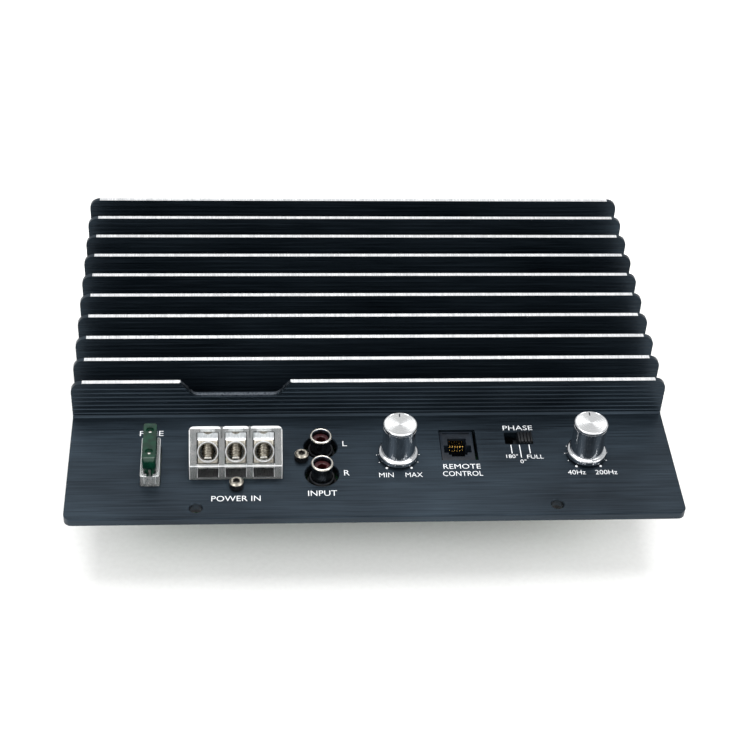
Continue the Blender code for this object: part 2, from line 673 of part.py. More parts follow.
def make_phase_switch():
    """Switch body under the slot, with a trough for the slider's foot."""
    floor = BOARD_TOP + GAP
    low = (*SWITCH_LOW, floor)
    high = (*SWITCH_HIGH, PANEL_UNDER - GAP)
    switch = add("phase_switch", box(low, high), BLACK)
    trough_low = (SLOT_LOW[0] - 1.6, SLOT_LOW[1] - 0.2, -9.0)
    trough_high = (SLOT_HIGH[0] + 1.6, SLOT_HIGH[1] + 0.2, 0)
    cut(switch, "slider_trough", box(trough_low, trough_high))


def make_phase_slider():
    right = SLOT_HIGH[0] - GAP
    left = right - SLIDER_WIDTH
    middle = ((left + right) / 2, (SLOT_LOW[1] + SLOT_HIGH[1]) / 2, 0)
    half_x = SLIDER_WIDTH / 2
    half_y = (SLOT_HIGH[1] - SLOT_LOW[1]) / 2 - GAP
    button = box((-half_x, -half_y, -6), (half_x, half_y, SLIDER_TOP), 0.4)
    slider = add("phase_slider", button, BLACK, middle)
    foot = box((-half_x - 1.2, -half_y + 0.1, -8.6), (half_x + 1.2, half_y - 0.1, PANEL_UNDER - GAP - 0.3))
    join(slider, "slider_foot", foot, middle)
    for i in range(4):
        x = middle[0] + (i - 1.5) * 1.3
        groove = box((-0.3, -half_y - 1, SLIDER_TOP - 0.6), (0.3, half_y + 1, SLIDER_TOP + 1))
        cut(slider, f"slider_groove_{i}", groove, (x, middle[1], 0))


# ---------------------------------------------------------------- potentiometers and knobs


def make_control(name, at):
    """One potentiometer with its shaft and knob. The knob's mark points straight back at rest."""
    x, y = at
    wide, deep, tall = POT_SIZE
    floor = BOARD_TOP + GAP
    can = box((-wide / 2, -deep / 2, floor), (wide / 2, deep / 2, floor + tall), 0.6)
    body = add(f"{name}_pot", can, STEEL, (x, y, 0))
    bush_top = PANEL_UNDER - GAP
    join(body, f"{name}_bush", round_bar(4.6, floor + 1, bush_top, MEDIUM), (x, y, 0))
    cut(body, f"{name}_bore", round_bar(SHAFT_RADIUS + GAP, floor + 0.8, 0, COARSE), (x, y, 0))
    shaft = round_bar(SHAFT_RADIUS, floor + 1.2, SHAFT_TOP, COARSE, 0.4)
    add(f"{name}_shaft", shaft, NICKEL, (x, y, 0))
    bore = SHAFT_RADIUS + GAP
    profile = [
        (0, KNOB_TOP - 0.25),
        (KNOB_RADIUS - 1.1, KNOB_TOP - 0.25),
        (KNOB_RADIUS - 0.9, KNOB_TOP),
        (KNOB_RADIUS - 0.5, KNOB_TOP),
        (KNOB_RADIUS, KNOB_TOP - 0.6),
        (KNOB_RADIUS, 2.6),
        (KNOB_FLANGE - 0.3, 2.3),
        (KNOB_FLANGE, 2.0),
        (KNOB_FLANGE, 0.8),
        (bore, 0.8),
        (bore, SHAFT_TOP + GAP),
        (0, SHAFT_TOP + GAP),
    ]
    turned(f"{name}_knob", profile, CHROME, (x, y, 0), steps=FINE)


# ---------------------------------------------------------------- power stage


def ring_profile(outer, inner, top, bottom, corner):
    """Closed half section of a wound ring with rounded edges, running down its outer side."""
    run = arc((outer - corner, top - corner), corner, 90, 0, 3)
    run += arc((outer - corner, bottom + corner), corner, 0, -90, 3)
    run += arc((inner + corner, bottom + corner), corner, -90, -180, 3)
    run += arc((inner + corner, top - corner), corner, 180, 90, 3)
    return run


def make_windings():
    top = BOARD_UNDER - GAP
    transformer = ring_profile(TRANSFORMER_OUTER, TRANSFORMER_INNER, top, LOWEST, 4.0)
    turned("power_transformer", transformer, COPPER, (*TRANSFORMER_AT, 0), steps=MEDIUM)
    inductor = ring_profile(INDUCTOR_OUTER, INDUCTOR_INNER, top, LOWEST, 3.0)
    turned("output_inductor", inductor, COPPER, (*INDUCTOR_AT, 0), steps=MEDIUM)


def make_capacitors():
    top = BOARD_UNDER - GAP
    radius = CAPACITOR_RADIUS
    can = [
        (0, top),
        (radius - 0.6, top),
        (radius, top - 0.6),
        (radius, top - 1.8),
        (radius - 0.7, top - 2.4),
        (radius, top - 3.0),
        (radius, LOWEST + 0.8),
        (radius - 0.8, LOWEST),
        (0, LOWEST),
    ]
    for i, (x, y) in enumerate(CAPACITORS, 1):
        turned(f"filter_capacitor_{i}", can, SLEEVE, (x, y, 0), steps=MEDIUM)


def make_transistors():
    """Flat-tab power transistors under the thermal pad, legs bent down to the board."""
    top = PANEL_UNDER - 3 * GAP - 0.4
    body_rear, body_front, leg_front = 3.4, -6.2, -9.8
    blank = add("transistor_blank", box((-5, body_front, top - 4.4), (5, body_rear, top)), BLACK)
    join(blank, "tab", box((-5, body_rear - 1, top - 1.3), (5, 9.4, top - 0.0005)))
    leg_z = top - 2.6
    for x in (-2.54, 0, 2.54):
        leg_low = (x - 0.4, leg_front, leg_z - 0.5)
        leg_end_low = (x - 0.35, leg_front, BOARD_TOP + GAP)
        join(blank, "leg", box(leg_low, (x + 0.4, body_front + 1, leg_z)))
        join(blank, "leg_end", box(leg_end_low, (x + 0.35, leg_front + 0.5, leg_z - 0.1)))
    mesh = settled_mesh(blank, "power_transistor")
    for i, x in enumerate(TRANSISTOR_XS, 1):
        add(f"power_transistor_{i}", mesh, BLACK, (x, TRANSISTOR_Y, 0))


def make_transistor_clamp():
    """Thermal pad above the transistors, spring bar below them, and the bar's two screws."""
    pad_top = PANEL_UNDER - GAP
    pad_low = (-37, TRANSISTOR_Y - 7, pad_top - 0.4)
    pad_high = (37, TRANSISTOR_Y + 10, pad_top)
    pad = add("thermal_pad", box(pad_low, pad_high), SILICONE)
    bar_top = PANEL_UNDER - 4 * GAP - 0.4 - 4.4
    bar_under = bar_top - 1.4
    bar_low = (-36, TRANSISTOR_Y - 3, bar_under)
    bar_high = (36, TRANSISTOR_Y + 3, bar_top)
    bar = add("clamp_bar", box(bar_low, bar_high, 1.0), STEEL)
    screw = pan_screw_profile(2.6, 1.6, 1.4, bar_top - bar_under + 6.6)
    for i, x in enumerate(BAR_SCREW_XS, 1):
        cut(pad, "pad_hole", round_bar(2.0, pad_top - 2, pad_top + 1, 16), (x, TRANSISTOR_Y, 0))
        cut(bar, "bar_hole", round_bar(1.8, bar_under - 1, bar_top + 1, 16), (x, TRANSISTOR_Y, 0))
        at = (x, TRANSISTOR_Y, bar_under - GAP)
        turned(f"clamp_bar_screw_{i}", screw, STEEL, at, turn=(180, 0, 0), steps=COARSE)


def make_speaker_connector():
    """Two-way shrouded header under the board for the leads to the speaker."""
    top = BOARD_UNDER - GAP
    x, y = SPEAKER_AT
    header = add("speaker_connector", box((-6, -4, top - 11), (6, 4, top), 0.5), WHITE, (x, y, 0))
    cut(header, "header_cavity", box((-5, -3, top - 12), (5, 3, top - 2)), (x, y, 0))
    for side in (-2.5, 2.5):
        join(header, "pin", box((side - 0.6, -0.6, top - 9), (side + 0.6, 0.6, top - 1)), (x, y, 0))


make_heatsink()
make_gasket()
make_board()
make_standoffs()
make_panel_screws()
make_board_screws()
make_terminal_housing()
make_wire_cages()
make_clamp_screws()
make_fuse_holder()
make_fuse_clips()
make_fuse()
make_rca_socket("left", RCA_LEFT_Y)
make_rca_socket("right", RCA_RIGHT_Y)
make_remote_jack()
make_jack_contacts()
make_phase_switch()
make_phase_slider()
make_control("gain", GAIN_AT)
make_control("filter", FILTER_AT)
make_windings()
make_capacitors()
make_transistors()
make_transistor_clamp()
make_speaker_connector()
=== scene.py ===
"""Looks of the car amplifier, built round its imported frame.

Shapes are drawn in millimetres in panel coordinates: X from the centre line, Y back from the panel's front
edge and Z up from its top face. PANEL_FRAME takes them into the frame's metres.
"""

import json
import math
import random

import bmesh
import bpy
from mathutils import Matrix, Vector

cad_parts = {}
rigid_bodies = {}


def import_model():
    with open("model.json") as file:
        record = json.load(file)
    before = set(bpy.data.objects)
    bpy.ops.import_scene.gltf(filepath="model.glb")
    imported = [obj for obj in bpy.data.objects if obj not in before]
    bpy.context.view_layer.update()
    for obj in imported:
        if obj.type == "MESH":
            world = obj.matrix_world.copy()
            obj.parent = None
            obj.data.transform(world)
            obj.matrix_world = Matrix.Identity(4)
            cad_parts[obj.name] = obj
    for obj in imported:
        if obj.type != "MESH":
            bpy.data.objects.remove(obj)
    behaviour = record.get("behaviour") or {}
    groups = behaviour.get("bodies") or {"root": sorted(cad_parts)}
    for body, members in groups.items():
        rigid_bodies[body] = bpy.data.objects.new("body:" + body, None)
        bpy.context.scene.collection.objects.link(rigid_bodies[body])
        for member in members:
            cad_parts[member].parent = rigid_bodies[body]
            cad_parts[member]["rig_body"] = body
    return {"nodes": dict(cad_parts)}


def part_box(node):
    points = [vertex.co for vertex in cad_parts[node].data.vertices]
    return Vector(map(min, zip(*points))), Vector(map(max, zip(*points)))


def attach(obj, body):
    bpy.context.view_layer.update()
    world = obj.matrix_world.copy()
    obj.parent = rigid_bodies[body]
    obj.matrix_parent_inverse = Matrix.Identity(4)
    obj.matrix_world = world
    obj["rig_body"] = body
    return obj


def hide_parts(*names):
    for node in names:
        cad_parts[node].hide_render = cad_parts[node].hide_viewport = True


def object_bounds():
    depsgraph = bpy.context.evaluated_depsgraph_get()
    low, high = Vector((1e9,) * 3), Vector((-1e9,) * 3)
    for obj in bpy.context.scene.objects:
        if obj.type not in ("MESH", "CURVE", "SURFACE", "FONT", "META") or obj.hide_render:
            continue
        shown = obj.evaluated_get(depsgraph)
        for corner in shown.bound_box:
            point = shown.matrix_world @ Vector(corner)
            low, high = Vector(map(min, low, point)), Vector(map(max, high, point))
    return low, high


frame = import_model()
cad_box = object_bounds()

MM = 0.001
PANEL_THICK = 3.2
HEATSINK_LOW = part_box("heatsink")[0]
PANEL_ORIGIN = Vector((0.0, HEATSINK_LOW.y, HEATSINK_LOW.z + PANEL_THICK * MM))
PANEL_FRAME = Matrix.Translation(PANEL_ORIGIN) @ Matrix.Scale(MM, 4)
TO_PANEL = PANEL_FRAME.inverted()


def panel_box(node):
    """A frame node's low and high corners, in panel millimetres."""
    low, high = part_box(node)
    return TO_PANEL @ low, TO_PANEL @ high


def panel_centre(node):
    low, high = panel_box(node)
    return (low + high) / 2


HALF_WIDTH = panel_box("heatsink")[1].x
PANEL_DEPTH = panel_box("heatsink")[1].y
FIN_TOP = panel_box("heatsink")[1].z
FLOOR_Z = cad_box[0].z


# ---------------------------------------------------------------- camera


def set_camera(place, azimuth, elevation, roll, lens):
    """A camera that looks along an azimuth and down by an elevation, rolled clockwise, all in degrees."""
    turn = math.radians(azimuth)
    dip = math.radians(elevation)
    ahead = Vector((math.sin(turn) * math.cos(dip), math.cos(turn) * math.cos(dip), -math.sin(dip)))
    data = bpy.data.cameras.new("camera")
    data.lens = lens
    data.clip_start = 0.01
    data.clip_end = 10.0
    camera = bpy.data.objects.new("camera", data)
    bpy.context.scene.collection.objects.link(camera)
    level = ahead.to_track_quat("-Z", "Y").to_matrix()
    camera.rotation_mode = "QUATERNION"
    camera.rotation_quaternion = (level @ Matrix.Rotation(math.radians(roll), 3, "Z")).to_quaternion()
    camera.location = place
    bpy.context.scene.camera = camera


set_camera((-0.05035, -0.53913, 0.50598), azimuth=5.85, elevation=41.55, roll=3.57, lens=82.4)


# ---------------------------------------------------------------- materials


def linear(value):
    """A linear RGBA colour from an sRGB hex value such as "#2e3338"."""
    parts = [int(value[i : i + 2], 16) / 255 for i in (1, 3, 5)]
    return (*[p / 12.92 if p <= 0.04045 else ((p + 0.055) / 1.055) ** 2.4 for p in parts], 1.0)


def node(tree, kind, inputs=(), **settings):
    """Adds one shader node, with its settings made and its inputs filled or linked."""
    made = tree.nodes.new(kind)
    for name, value in settings.items():
        setattr(made, name, value)
    for name, value in dict(inputs).items():
        if isinstance(value, bpy.types.NodeSocket):
            tree.links.new(value, made.inputs[name])
        else:
            made.inputs[name].default_value = value
    return made


def material(name, **fixed):
    """A new material, its node tree and its Principled shader with the fixed socket values set."""
    made = bpy.data.materials.new(name)
    made.use_nodes = True
    tree = made.node_tree
    shader = tree.nodes["Principled BSDF"]
    for socket, value in fixed.items():
        shader.inputs[socket.replace("_", " ")].default_value = value
    return made, tree, shader


def grain(tree, feature_mm, stretch=(1, 1, 1), detail=3.0, softness=0.5):
    """Noise whose features are that many millimetres wide, and stretch times as long along X, Y and Z."""
    place = node(tree, "ShaderNodeTexCoord").outputs["Object"]
    scale = [1 / (feature_mm * MM * s) for s in stretch]
    mapped = node(tree, "ShaderNodeMapping", {"Vector": place, "Scale": scale})
    made = node(
        tree,
        "ShaderNodeTexNoise",
        {"Vector": mapped.outputs["Vector"], "Scale": 1.0, "Detail": detail, "Roughness": softness},
    )
    return made.outputs["Fac"]


def spread(tree, value, low, high):
    """A noise value drawn out from its usual 0.3 to 0.7 to the range from low to high."""
    made = node(
        tree,
        "ShaderNodeMapRange",
        {"Value": value, "From Min": 0.3, "From Max": 0.7, "To Min": low, "To Max": high},
    )
    return made.outputs["Result"]


def two_tone(tree, value, dark, light):
    """A colour between two hex values, by a noise value."""
    amount = spread(tree, value, 0.0, 1.0)
    made = node(tree, "ShaderNodeMix", {"Factor": amount}, data_type="RGBA")
    made.inputs["A"].default_value = linear(dark)
    made.inputs["B"].default_value = linear(light)
    return made.outputs["Result"]


def relief(tree, shader, value, height_mm, strength=0.5):
    """Bump of that height on the shader's normal."""
    bump = node(tree, "ShaderNodeBump", {"Height": value, "Distance": height_mm * MM, "Strength": strength})
    tree.links.new(bump.outputs["Normal"], shader.inputs["Normal"])


def join_up(tree, shader, **outputs):
    for socket, output in outputs.items():
        tree.links.new(output, shader.inputs[socket.replace("_", " ")])


def coloured(tree, shader, tone, dark, light, gloss, rough):
    """Colour by one grain and gloss by another, which may be the same one."""
    join_up(
        tree,
        shader,
        Base_Color=two_tone(tree, tone, dark, light),
        Roughness=spread(tree, gloss, *rough),
    )


def reckon(tree, operation, *values):
    """The result of one sum on numbers."""
    return node(tree, "ShaderNodeMath", dict(enumerate(values)), operation=operation).outputs["Value"]


def reckon_vector(tree, operation, *values):
    """The result of one sum on vectors. A length is a number, and the rest are vectors."""
    made = node(tree, "ShaderNodeVectorMath", dict(enumerate(values)), operation=operation)
    return made.outputs["Value" if operation == "LENGTH" else "Vector"]


def surface(name, dark, light, rough, feature_mm, stretch=(1, 1, 1), detail=3, raised=None, **fixed):
    """A finish whose colour, gloss and relief follow one grain. Raised is (relief in mm, strength)."""
    made, tree, shader = material(name, **fixed)
    texture = grain(tree, feature_mm, stretch, detail)
    coloured(tree, shader, texture, dark, light, texture, rough)
    if raised:
        relief(tree, shader, texture, *raised)
    return made


def plated(name, dark, light):
    """Rolled or turned metal under a thin plating: softly mottled, a little misty."""
    return surface(name, dark, light, (0.25, 0.42), 0.8, detail=5, raised=(0.008, 0.3), Metallic=1.0)


def slate_anodised_aluminium():
    """Extrusion brushed along its length and dyed: dark, with fine level lines that break up the gloss."""
    made, tree, shader = material("slate_anodised_aluminium", Metallic=0.75)
    # Brush lines are about 0.05 mm wide; drawn at 0.35 mm so that they show.
    lines = grain(tree, 0.35, stretch=(60, 1, 1), detail=4)
    cloud = grain(tree, 28.0, stretch=(2, 1, 1), detail=2)
    mixed = reckon(tree, "MULTIPLY", reckon(tree, "ADD", lines, cloud), 0.5)
    coloured(tree, shader, mixed, "#0b141c", "#313d47", lines, (0.34, 0.52))
    relief(tree, shader, lines, 0.02, 0.35)
    return made


def spun_chrome(name, centre):
    """The knob's end face, spun: rings round its centre draw the gloss out into two bright wedges."""
    made, tree, shader = material(name, Metallic=1.0)
    shader.inputs["Anisotropic"].default_value = 0.85
    middle = PANEL_FRAME @ Vector((centre.x, centre.y, 0.0))
    place = node(tree, "ShaderNodeTexCoord").outputs["Object"]
    shifted = reckon_vector(tree, "ADD", place, (-middle.x, -middle.y, 0.0))
    flat = reckon_vector(tree, "MULTIPLY", shifted, (1, 1, 0))
    # Spun rings are about 0.05 mm apart; drawn at 0.2 mm so that they show.
    ring_number = reckon(tree, "MULTIPLY", reckon_vector(tree, "LENGTH", flat), 1 / (0.2 * MM))
    noise = node(
        tree,
        "ShaderNodeTexNoise",
        {"W": ring_number, "Scale": 1.0, "Detail": 2.0},
        noise_dimensions="1D",
    )
    rings = noise.outputs["Fac"]
    coloured(tree, shader, rings, "#c6c8ca", "#eceded", rings, (0.22, 0.34))
    join_up(tree, shader, Tangent=reckon_vector(tree, "CROSS_PRODUCT", (0, 0, 1), flat))
    relief(tree, shader, rings, 0.006, 0.3)
    return made


def nickel_plate():
    """Bright nickel on brass: warm grey mirror with a slight mist."""
    made, tree, shader = material("nickel_plate", Metallic=1.0)
    mist = grain(tree, 1.2, detail=4)
    coloured(tree, shader, mist, "#b4b0a8", "#d8d5cd", mist, (0.14, 0.28))
    relief(tree, shader, grain(tree, 0.15, detail=2), 0.004, 0.25)
    return made


def clear_polycarbonate(name, clearness):
    """Moulded clear plastic: flow waves break up what shows through, and at low clearness it glows milky
    white, the painted highlight of thick walls and edges.
    """
    made, tree, shader = material(name, IOR=1.58, Transmission_Weight=clearness)
    waves = grain(tree, 1.6, detail=3)
    coloured(tree, shader, grain(tree, 2.2), "#dfe5e6", "#ffffff", grain(tree, 0.8), (0.1, 0.26))
    relief(tree, shader, waves, 0.05, 0.35)
    return made


def green_fuse_plastic():
    """Translucent dyed polycarbonate: deep green that lets some light into its edges."""
    made, tree, shader = material("green_fuse_plastic", IOR=1.45, Transmission_Weight=0.2)
    cloud = grain(tree, 2.5, detail=3)
    coloured(tree, shader, cloud, "#011f14", "#073b29", grain(tree, 0.5), (0.12, 0.26))
    relief(tree, shader, cloud, 0.02, 0.2)
    return made


def moulding(name, dark, light, rough=(0.38, 0.55), texture_mm=0.25, height_mm=0.012, ior=1.5):
    """Injection-moulded plastic: even colour with the mould's fine spark-eroded texture."""
    made, tree, shader = material(name, IOR=ior)
    texture = grain(tree, texture_mm, detail=3)
    cloud = grain(tree, 6.0, detail=2)
    coloured(tree, shader, cloud, dark, light, texture, rough)
    relief(tree, shader, texture, height_mm, 0.5)
    return made


def solder_mask_board():
    """Glass-epoxy board under green solder mask, with the copper pattern faintly raised."""
    made, tree, shader = material("solder_mask_board", IOR=1.5, Coat_Weight=0.25, Coat_Roughness=0.15)
    place = node(tree, "ShaderNodeTexCoord").outputs["Object"]
    # Copper runs 11 mm long and 2.6 mm wide lie side by side, with 0.4 mm of bare laminate between them.
    metres = node(tree, "ShaderNodeVectorMath", {0: place, "Scale": 1 / MM}, operation="SCALE")
    tracks = node(
        tree,
        "ShaderNodeTexBrick",
        {
            "Vector": metres.outputs["Vector"],
            "Color1": linear("#17482c"),
            "Color2": linear("#1c5534"),
            "Mortar": linear("#0b2c1b"),
            "Scale": 1.0,
            "Mortar Size": 0.2,
            "Mortar Smooth": 0.3,
            "Brick Width": 11.0,
            "Row Height": 2.6,
        },
    )
    join_up(
        tree,
        shader,
        Base_Color=tracks.outputs["Color"],
        Roughness=spread(tree, grain(tree, 0.6), 0.28, 0.42),
    )
    relief(tree, shader, reckon(tree, "SUBTRACT", 1.0, tracks.outputs["Fac"]), 0.04, 0.5)
    return made


def closed_cell_foam():
    """EVA foam strip: matt black with small open cells on its cut face."""
    made, tree, shader = material("closed_cell_foam", IOR=1.5)
    place = node(tree, "ShaderNodeTexCoord").outputs["Object"]
    cells = node(tree, "ShaderNodeTexVoronoi", {"Vector": place, "Scale": 1 / (0.5 * MM)})
    fine = grain(tree, 1.5, detail=3)
    coloured(tree, shader, fine, "#141415", "#242527", fine, (0.85, 0.98))
    relief(tree, shader, cells.outputs["Distance"], 0.1, 0.6)
    return made


ANODISED = slate_anodised_aluminium()
# Bare aluminium left by a saw or mill: bright, with cutter lines across the fin. It is also the painted
# highlight on the level faces of the terminal's wire cages.
MACHINED_AND_HIGHLIGHT = surface(
    "machined_aluminium_and_painted_highlight",
    "#cdd0d3",
    "#f4f5f6",
    (0.3, 0.5),
    0.3,
    stretch=(1, 14, 1),
    raised=(0.015, 0.4),
    Metallic=1.0,
)
# Chromed brass turned on a lathe: mirror-bright sides with faint marks.
CHROME = surface(
    "satin_chrome",
    "#b9bcc0",
    "#dadcde",
    (0.06, 0.14),
    0.5,
    stretch=(1, 1, 8),
    raised=(0.004, 0.3),
    Metallic=1.0,
)
NICKEL = nickel_plate()
ZINC = plated("zinc_plated_steel", "#8d9094", "#b9bcbf")
# Dull nickel on the terminal's cages and clamp screws; on the panel screws' heads it is a painted highlight.
DULL_NICKEL_AND_HIGHLIGHT = plated("dull_nickel_plate_and_painted_highlight", "#8b877e", "#bab5aa")
# A darker copy of the nickel: painted shade, and painted reflection of the dark panel, on the RCA sleeves
# below their lips and in their bores.
PAINTED_SHADE_NICKEL = plated("nickel_painted_shade", "#3a4048", "#666e78")
# A lighter copy of the anodised grey: painted highlight on the upward faces of the notch over the power
# terminal.
NOTCH_HIGHLIGHT = plated("notch_painted_highlight", "#454b53", "#6f767e")
# Blackened socket screw: dark with a brown-grey gloss where it is handled.
BLACK_STEEL = surface(
    "black_oxide_steel",
    "#26272a",
    "#4a4b4e",
    (0.28, 0.45),
    0.5,
    detail=4,
    raised=(0.01, 0.3),
    Metallic=0.9,
)
# Thin hard gold on the spring contacts: warm and bright, a little worn.
GOLD = surface("gold_plate", "#b98d3c", "#e3bd6a", (0.18, 0.32), 0.4, Metallic=1.0)
# Tinned brass: silvery, a little dull and streaked by the press tool.
TIN = surface(
    "tin_plate",
    "#a3a29d",
    "#cfcec9",
    (0.24, 0.42),
    0.4,
    stretch=(1, 1, 9),
    raised=(0.006, 0.3),
    Metallic=1.0,
)
CLEAR = clear_polycarbonate("clear_polycarbonate", 0.84)
WATER_CLEAR = clear_polycarbonate("water_clear_polycarbonate", 0.97)
# A less clear, milky white copy: painted highlight on the bevels and lit ledges of the clear mouldings.
CLEAR_EDGE_HIGHLIGHT = clear_polycarbonate("polycarbonate_painted_highlight", 0.3)
GREEN = green_fuse_plastic()
BLACK = moulding("black_abs", "#090b0e", "#14171b", ior=1.33)
GLOSS_BLACK = moulding("black_shrink_sleeve", "#0d0d12", "#191a22", rough=(0.16, 0.3), texture_mm=1.5)
EPOXY = moulding("black_epoxy", "#161617", "#222224", rough=(0.5, 0.7))
GREY = moulding("grey_abs", "#0c1219", "#171f28", ior=1.33)
RED = moulding("dark_red_nylon", "#24070a", "#3d0e12", rough=(0.3, 0.45))
WHITE = moulding("white_nylon", "#d8d4c8", "#ebe7dc", rough=(0.4, 0.55))
BLUE = moulding("blue_film_resin", "#1c3f78", "#2b5aa0", rough=(0.2, 0.35), texture_mm=1.0)
RESISTOR = moulding("resistor_lacquer", "#a58a62", "#c7ad84", rough=(0.25, 0.4), texture_mm=0.8)
TAPE = moulding("yellow_core_tape", "#b8a15a", "#cdb974", rough=(0.35, 0.5), texture_mm=1.2)
SILICONE = moulding("grey_silicone", "#7f8286", "#96999c", rough=(0.7, 0.85), texture_mm=0.4)
BOARD = solder_mask_board()
# Varnished magnet wire: red-brown metal under a clear glossy coat.
COPPER = surface(
    "enamelled_copper",
    "#8a3f1c",
    "#c06a34",
    (0.24, 0.38),
    1.5,
    Metallic=0.85,
    Coat_Weight=0.6,
    Coat_Roughness=0.12,
)
FOAM = closed_cell_foam()
# White epoxy ink pulled through a mesh: slightly uneven cover.
INK = surface("screen_ink", "#c9cccf", "#eceef0", (0.5, 0.7), 0.3, IOR=1.5)
# Pale paper sweep: nearly white and matt.
PALE_FLOOR = surface("pale_floor", "#f6f6f5", "#fbfbfa", (0.7, 0.9), 2.0, IOR=1.4)


# ---------------------------------------------------------------- shapes, in panel millimetres


def block(low, high, corner=0.0, axis=2, segments=4, soft=0.0):
    """A box with the edges along one axis rounded, then every edge eased by soft."""
    size = [b - a for a, b in zip(low, high)]
    centre = [(a + b) / 2 for a, b in zip(low, high)]
    bm = bmesh.new()
    bmesh.ops.create_cube(bm, size=1.0, matrix=Matrix.Translation(centre) @ Matrix.Diagonal(size + [1]))
    if corner:
        along = [e for e in bm.edges if abs((e.verts[0].co - e.verts[1].co)[axis]) > 0.5 * size[axis]]
        bmesh.ops.bevel(bm, geom=along, offset=corner, segments=segments, profile=0.5, affect="EDGES")
    return eased(bm, soft)


def slab(half_x, half_y, low, high, *corner, **easing):
    """A block round the Z axis, from one height to another, eased as block says."""
    return block((-half_x, -half_y, low), (half_x, half_y, high), *corner, **easing)


def eased(bm, width, segments=2, least_angle=40):
    """The same shape with its sharp outer edges eased."""
    if width:
        least = math.radians(least_angle)
        sharp = [e for e in bm.edges if e.is_manifold and e.calc_face_angle_signed(0) > least]
        bmesh.ops.bevel(
            bm,
            geom=sharp,
            offset=width,
            segments=segments,
            profile=0.5,
            affect="EDGES",
            clamp_overlap=True,
        )
    return bm


def lathe(profile, steps=64):
    """A turned shape round Z. The profile of (radius, height) points runs down its outer side."""
    bm = bmesh.new()
    points = [bm.verts.new((radius, 0, height)) for radius, height in profile]
    edges = [bm.edges.new(pair) for pair in zip(points, points[1:])]
    if profile[0][0] > 0:
        edges.append(bm.edges.new((points[-1], points[0])))
    bmesh.ops.spin(
        bm,
        geom=points + edges,
        axis=(0, 0, 1),
        cent=(0, 0, 0),
        angle=math.tau,
        steps=steps,
        use_merge=True,
    )
    bmesh.ops.remove_doubles(bm, verts=bm.verts, dist=0.0005)
    bmesh.ops.recalc_face_normals(bm, faces=bm.faces)
    return bm


def rod(radius, low, high, sides=48, soft=0.0, segments=2):
    """A round bar along Z, or a hexagonal one with sides=6."""
    bm = bmesh.new()
    bmesh.ops.create_cone(
        bm,
        cap_ends=True,
        segments=sides,
        radius1=radius,
        radius2=radius,
        depth=high - low,
        matrix=Matrix.Translation((0, 0, (low + high) / 2)),
    )
    if soft:
        rims = [e for e in bm.edges if abs(e.verts[0].co.z - e.verts[1].co.z) < 1e-6]
        bmesh.ops.bevel(bm, geom=rims, offset=soft, segments=segments, profile=0.5, affect="EDGES")
    return bm


def prism(points, low, high, axis=2, soft=0.0):
    """A flat outline carried from low to high along an axis. Its points are the other two coordinates."""
    bm = bmesh.new()
    rings = []
    for level in (low, high):
        ring = []
        for a, b in points:
            place = {0: (level, a, b), 1: (a, level, b), 2: (a, b, level)}[axis]
            ring.append(bm.verts.new(place))
        rings.append(ring)
    bm.faces.new(rings[0])
    bm.faces.new(rings[1])
    for i in range(len(points)):
        following = (i + 1) % len(points)
        bm.faces.new((rings[0][i], rings[0][following], rings[1][following], rings[1][i]))
    bmesh.ops.recalc_face_normals(bm, faces=bm.faces)
    return eased(bm, soft)


def arc(centre, radius, start, end, steps=6):
    """Points round a circle from one angle to another, in degrees."""
    angles = [math.radians(start + (end - start) * i / steps) for i in range(steps + 1)]
    return [(centre[0] + radius * math.cos(a), centre[1] + radius * math.sin(a)) for a in angles]


def wire(points, radius, sides=10):
    """A round wire along a run of points, with flat ends."""
    bm = bmesh.new()
    rings = []
    for i, point in enumerate(points):
        ahead = Vector(points[min(i + 1, len(points) - 1)]) - Vector(points[max(i - 1, 0)])
        turn = ahead.to_track_quat("Z", "Y").to_matrix()
        angles = [math.tau * k / sides for k in range(sides)]
        round_it = [turn @ Vector((radius * math.cos(a), radius * math.sin(a), 0)) for a in angles]
        rings.append([bm.verts.new(Vector(point) + place) for place in round_it])
    return skinned(bm, rings)


def skinned(bm, rings):
    """Joins each ring of points to the next, and closes both ends."""
    for near, far in zip(rings, rings[1:]):
        for k in range(len(near)):
            following = (k + 1) % len(near)
            bm.faces.new((near[k], near[following], far[following], far[k]))
    bm.faces.new(rings[0])
    bm.faces.new(rings[-1])
    bmesh.ops.recalc_face_normals(bm, faces=bm.faces)
    return bm


def placed(bm, at=(0, 0, 0), turn=(0, 0, 0)):
    """The same shape turned about X, Y and Z in degrees, then moved."""
    spin = Matrix.Identity(4)
    for angle, axis in zip(turn, "XYZ"):
        spin = Matrix.Rotation(math.radians(angle), 4, axis) @ spin
    bm.transform(Matrix.Translation(at) @ spin)
    return bm


def together(*shapes):
    """One mesh of several separate closed shapes."""
    whole = bmesh.new()
    for bm in shapes:
        mesh = mesh_of(bm)
        whole.from_mesh(mesh)
        bpy.data.meshes.remove(mesh)
    return whole


def mesh_of(bm):
    mesh = bpy.data.meshes.new("shape")
    bm.to_mesh(mesh)
    bm.free()
    return mesh


def combined(body, other, operation="DIFFERENCE"):
    """The Boolean of two shapes, applied."""
    base = bpy.data.objects.new("base", mesh_of(body))
    cutter = bpy.data.objects.new("cutter", mesh_of(other))
    for obj in (base, cutter):
        bpy.context.scene.collection.objects.link(obj)
    modifier = base.modifiers.new("boolean", "BOOLEAN")
    modifier.operation = operation
    modifier.solver = "EXACT"
    modifier.object = cutter
    graph = bpy.context.evaluated_depsgraph_get()
    made = bpy.data.meshes.new_from_object(base.evaluated_get(graph))
    bm = bmesh.new()
    bm.from_mesh(made)
    bmesh.ops.dissolve_limit(bm, angle_limit=0.002, verts=bm.verts, edges=bm.edges)
    bpy.data.meshes.remove(made)
    for obj in (base, cutter):
        mesh = obj.data
        bpy.data.objects.remove(obj, do_unlink=True)
        bpy.data.meshes.remove(mesh)
    return bm


def cut(body, *cutters):
    for cutter in cutters:
        body = combined(body, cutter)
    return body


